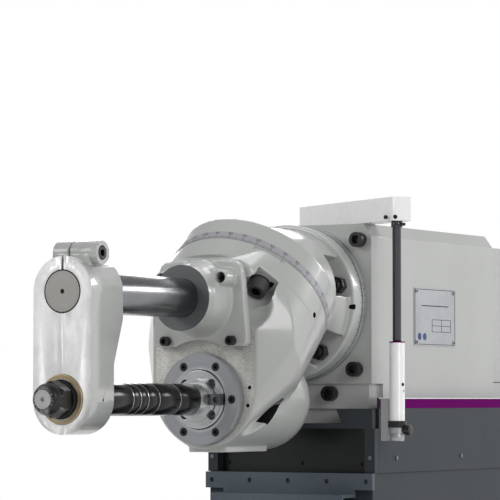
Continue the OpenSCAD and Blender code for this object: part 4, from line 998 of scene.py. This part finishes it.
class MILLING_OT_trim(Dresser, bpy.types.Operator):
    """Puts on the violet stripe, the bare nameplate and the small screws of the side panels."""
    bl_idname = "milling.trim"
    bl_label = "Trim"

    def execute(self, context):
        y0, y1 = 14.5, 539.5
        stripes, lines, screws = [], [], []
        for side in SIDES:
            x0, x1 = sorted((side * 153.6, side * 154.5))
            stripes.append(block("stripe", (x0, y0, 1466), (x1, y1, 1481)))
            # A pale strip on the top edge of each side sheet: a painted highlight
            lines.append(block("line", (x0, y0, 1481.2), (x1, y1, 1482.9)))
            places = [((side * 154, y, 1387), (side, 0, 0)) for y in (73, 300, 500)]
            places.append(((side * 146, 0, 1388), (0, -1, 0)))
            screws += [pin("screw", at, way, 3.5, 1, 1.4) for at, way in places]
        assembled("trim_stripe", stripes, "violet", "root", "red_plastic")
        assembled("trim_edge_highlight", lines, "edge_highlight_paint", "root", "white_paint")
        assembled("panel_screws", screws, "dark_steel", "root", angle=35)
        self.plate()
        return {"FINISHED"}

    def plate(self):
        """A bare plate: a frame, rules, an empty table and two plain spots, with no words."""
        x0, x1 = 135.0, 135.45
        y0, y1, z0, z1 = 173.0, 316.0, 1570.0, 1661.0
        thin, left, right, foot, head = 0.8, y0 + 60, y1 - 16, 1591, 1611.8
        areas = [((y0, z0), (y1, z0 + 0.9)), ((y0, z1 - 0.9), (y1, z1)),
                 ((y0, z0), (y0 + 0.9, z1)), ((y1 - 0.9, z0), (y1, z1)),
                 ((y0 + 24, 1633), (y1 - 24, 1634.6))]
        areas += [((left, z), (right, z + thin)) for z in (foot, foot + 10, foot + 20)]
        areas += [((y, foot), (y + thin, head)) for y in (left, y0 + 94, right - thin)]
        rules = [block("rule", (x0,) + low, (x1,) + high) for low, high in areas]
        assembled("plate_rules", rules, "ink", "ram", "black_plastic")
        spots = [pin("spot", (x0, y, 1583), (1, 0, 0), 6, 0.5, 0.45, 32)
                 for y in (y0 + 16, y0 + 34)]
        assembled("plate_spots", spots, "blue_ink", "ram", "black_plastic")
        heads = [pin("rivet", (x0, y, z), (1, 0, 0), 2, 0.5, 1.9)
                 for y in (y0 + 5, y1 - 5) for z in (z0 + 4, z1 - 4)]
        assembled("plate_rivets", heads, "hole", "ram", "black_plastic", 30)


class MILLING_OT_guard(Dresser, bpy.types.Operator):
    """Dresses the guard post: clamp ring, violet collar line, set screws and the bright foot."""
    bl_idname = "milling.guard"
    bl_label = "Guard post"

    def execute(self, context):
        post = (190, 8, 0)
        for part, finish in (
                (ring("clamp", 12.6, 14.6, 1436, 1446.5, post, "Z"), "black_plastic"),
                (ring("collar", 7.2, 12.4, 1569.2, 1571.0, post, "Z"), "violet"),
                # The set screw's hole is a near-black disc: painted shade
                (pin("hole", (201.6, 5, 1503.5), (1, -0.25, 0), 2.6, 2, 0.5), "hole"),
                (ring("foot", 12.5, 13.2, 1427.2, 1435.8, post, "Z"), "alloy")):
            assembled("guard_" + part.name, [part], finish, "guard", "white_paint", 40)
        # Dark spots at the two screw sockets, in the hole finish: painted shade
        screws = [pin("screw", (x, -14.6, 1766), (0, -1, 0), 3.2, 2, 0.2) for x in (182, 199)]
        assembled("guard_screws", screws, "hole", "guard", "black_plastic")
        return {"FINISHED"}


# ---- Table, knee and wheels


def dial(name, at, way, radius, width):
    """A bright drum round an axis with fifty engraved divisions."""
    place = along(at, way)
    drum = turned("drum", [(12, 0), (radius - 0.8, 0), (radius, 0.8), (radius, width - 0.8),
                           (radius - 0.8, width), (12, width)], matrix=place, closed=True)
    marks = scale("marks", place, radius + 0.12, width - 0.9, -1, 0.8, count=50)
    return group(name, [finished(shaded(drum), "chrome"), finished(marks, "ink")])


def hub(name, at, way):
    """A hexagon nut that closes a wheel's hub."""
    nut = turned(name, [(0, -7), (15, -7), (15, -1), (13, 1.6), (0, 1.6)], steps=6,
                 matrix=along(at, way))
    return finished(bevelled(nut, 0.8), "bright_steel")


class MILLING_OT_wheels(Dresser, bpy.types.Operator):
    """Puts graduated dials behind the handwheels and the crank, and hub nuts on the wheels."""
    bl_idname = "milling.wheels"
    bl_label = "Wheels and dials"

    def execute(self, context):
        front, table_z, saddle_z, knee_z = -700.5, 992, 824.4, 624.4
        for side, name in ((1, "right"), (-1, "left")):
            way = (side, 0, 0)
            drum = dial("table_dial_" + name, (side * 598.5, TABLE_Y, table_z), way, 36, 9.3)
            fitted(drum, "table", "bright_steel")
            nut = hub("table_hub_" + name, (side * 636, TABLE_Y, table_z), way)
            fitted(nut, "table_screw", "bright_steel")
        out = (0, -1, 0)
        fitted(dial("saddle_dial", (0, front, saddle_z), out, 37, 11.3), "knee", "bright_steel")
        fitted(hub("saddle_hub", (0, -740, saddle_z), out), "saddle_screw", "bright_steel")
        fitted(dial("knee_dial", (0, front, knee_z), out, 34, 11.3), "knee", "bright_steel")
        return {"FINISHED"}


class MILLING_OT_table(Dresser, bpy.types.Operator):
    """Adds the swivel scale, the table's front groove with its stops, the oilers and the sight."""
    bl_idname = "milling.table"
    bl_label = "Table and knee fittings"

    def execute(self, context):
        disc = Matrix.Translation((0, TABLE_Y, 0)) @ Matrix.Rotation(math.radians(-90), 4, "Z")
        self.engraved("swivel_scale", "swivel", disc, 135.2, 931, 1, figure=4.2, first=-45,
                      last=46, label=lambda i: str(abs(i)))
        zero = block("zero", (-0.5, -440.4, 919), (0.5, -439.6, 928))
        assembled("swivel_zero", [zero], "ink", "saddle", "alloy")
        # The groove is not cut: a near-black strip lies where it is, as its painted shade
        groove = block("groove", (-520, -420.6, 1030), (520, -419.4, 1042))
        assembled("table_groove", [groove], "hole", "table", "black_steel", edge=0.3)
        stops = [block("stop", (x - 12, -431, 1026), (x + 12, -419.4, 1046)) for x in (-330, 330)]
        assembled("table_stops", stops, "dark_steel", "table", edge=1.2)
        oilers = [pin("oiler", (side * 160, y, 870), (0, -1, 0), radius, inside, outside)
                  for y, radius, inside, outside in ((-440, 5, 1, 2.5), (-442.4, 2.2, 0, 1.4))
                  for side in SIDES]
        assembled("saddle_oilers", oilers, "bronze", "saddle", angle=30)
        rim = pin("rim", (165, -620, 780), (1, 0, 0), 13, 1, 3, 48)
        assembled("oil_sight_rim", [rim], "bright_steel", "knee", angle=30)
        glass = pin("glass", (168, -620, 780), (1, 0, 0), 9.5, 1, 0.4, 48)
        assembled("oil_sight", [glass], "glass_green", "knee", "alloy", 30)
        return {"FINISHED"}


# ---- Motor, door and controls


class MILLING_OT_back(Dresser, bpy.types.Operator):
    """Ribs the motor, grooves its cover, and adds the door's louvres and the controls' plates."""
    bl_idname = "milling.back"
    bl_label = "Motor, door and controls"

    def execute(self, context):
        self.motor()
        louvres = [prism("louvre", [(-75, 543.2, z), (-75, 547.4, z - 3), (-75, 543.2, z - 15)],
                         (150, 0, 0))
                   for low in (340, 1060) for z in range(low, low + 160, 20)]
        assembled("door_louvres", louvres, "slate_paint", "rear_door", angle=30)
        plate = block("plate", (-232, 109.75, 1210), (-172, 110.4, 1270))
        assembled("switch_plate", [plate], "plate_foil", "root", "alloy")
        bezels = [ring("bezel", 11.7, 15.5, 108.4, 110.4, (-202, 0, z), steps=64)
                  for z in (1185, 1135)]
        assembled("button_bezels", bezels, "chrome", "root", "bright_steel", 35)
        lever_x, lever_y, lever_z, out = -118, 511, 1680, (-1, 0, 0)
        disc = pin("disc", (lever_x, lever_y, lever_z), out, 40, 1, 0.24, 64)
        assembled("speed_plate", [disc], "plate_foil", "ram", "alloy", 30)
        dots = [pin("dot", (lever_x - 0.2, lever_y - 31 * math.sin(a), lever_z + 31 * math.cos(a)),
                    out, 2.4, 0.5, 0.3)
                for a in (math.radians(turn) for turn in (160, 200, 240))]
        assembled("speed_dots", dots, "ink", "ram", "black_plastic", 30)
        return {"FINISHED"}

    def motor(self):
        motor = node_copy("motor", "motor_body")
        ribs = []
        for turn in range(0, 360, 9):
            a = math.radians(turn)
            out, across = Vector((math.cos(a), math.sin(a))), Vector((-math.sin(a), math.cos(a)))
            corners = [out * r + across * t
                       for r, t in ((90, -1.1), (100.6, -1.1), (100.6, 1.1), (90, 1.1))]
            ribs.append(drawn("rib", [(p.x, MOTOR_Z + p.y) for p in corners], 640, 825))
        joined(motor, ribs)
        finished(motor, "black_paint")
        grooves = [ring("groove", r, r + 4, 877.5, 883, (0, 0, MOTOR_Z), steps=64)
                   for r in range(26, 90, 9)]
        # The grooves' walls get the hole finish: painted shade inside them
        joined(motor, [finished(groove, "hole") for groove in grooves], "DIFFERENCE")
        fitted(shaded(motor, 40), "ram", "black_paint", "motor")


class MILLING_PT_panel(bpy.types.Panel):
    """Lists the settings and the steps in the sidebar."""
    bl_idname = "MILLING_PT_panel"
    bl_label = "Milling machine"
    bl_space_type = "VIEW_3D"
    bl_region_type = "UI"
    bl_category = "Milling machine"

    def draw(self, context):
        for settings in (context.scene.milling_looks, context.scene.milling_sizes):
            for name in settings.__annotations__:
                self.layout.prop(settings, name)
        for step in STEPS:
            self.layout.operator(step.bl_idname)


STEPS = (MILLING_OT_stage, MILLING_OT_finishes, MILLING_OT_head, MILLING_OT_rear_swivel,
         MILLING_OT_bracket, MILLING_OT_support, MILLING_OT_arbor, MILLING_OT_trim,
         MILLING_OT_guard, MILLING_OT_wheels, MILLING_OT_table, MILLING_OT_back)
CLASSES = (MILLING_PG_looks, MILLING_PG_sizes) + STEPS + (MILLING_PT_panel,)


def register():
    for kind in CLASSES:
        bpy.utils.register_class(kind)
    bpy.types.Scene.milling_looks = PointerProperty(type=MILLING_PG_looks)
    bpy.types.Scene.milling_sizes = PointerProperty(type=MILLING_PG_sizes)


def unregister():
    del bpy.types.Scene.milling_sizes
    del bpy.types.Scene.milling_looks
    for kind in reversed(CLASSES):
        bpy.utils.unregister_class(kind)


def main():
    register()
    for step in STEPS:
        family, name = step.bl_idname.split(".")
        getattr(getattr(bpy.ops, family), name)()
    bpy.context.view_layer.update()


if __name__ == "__main__":
    main()
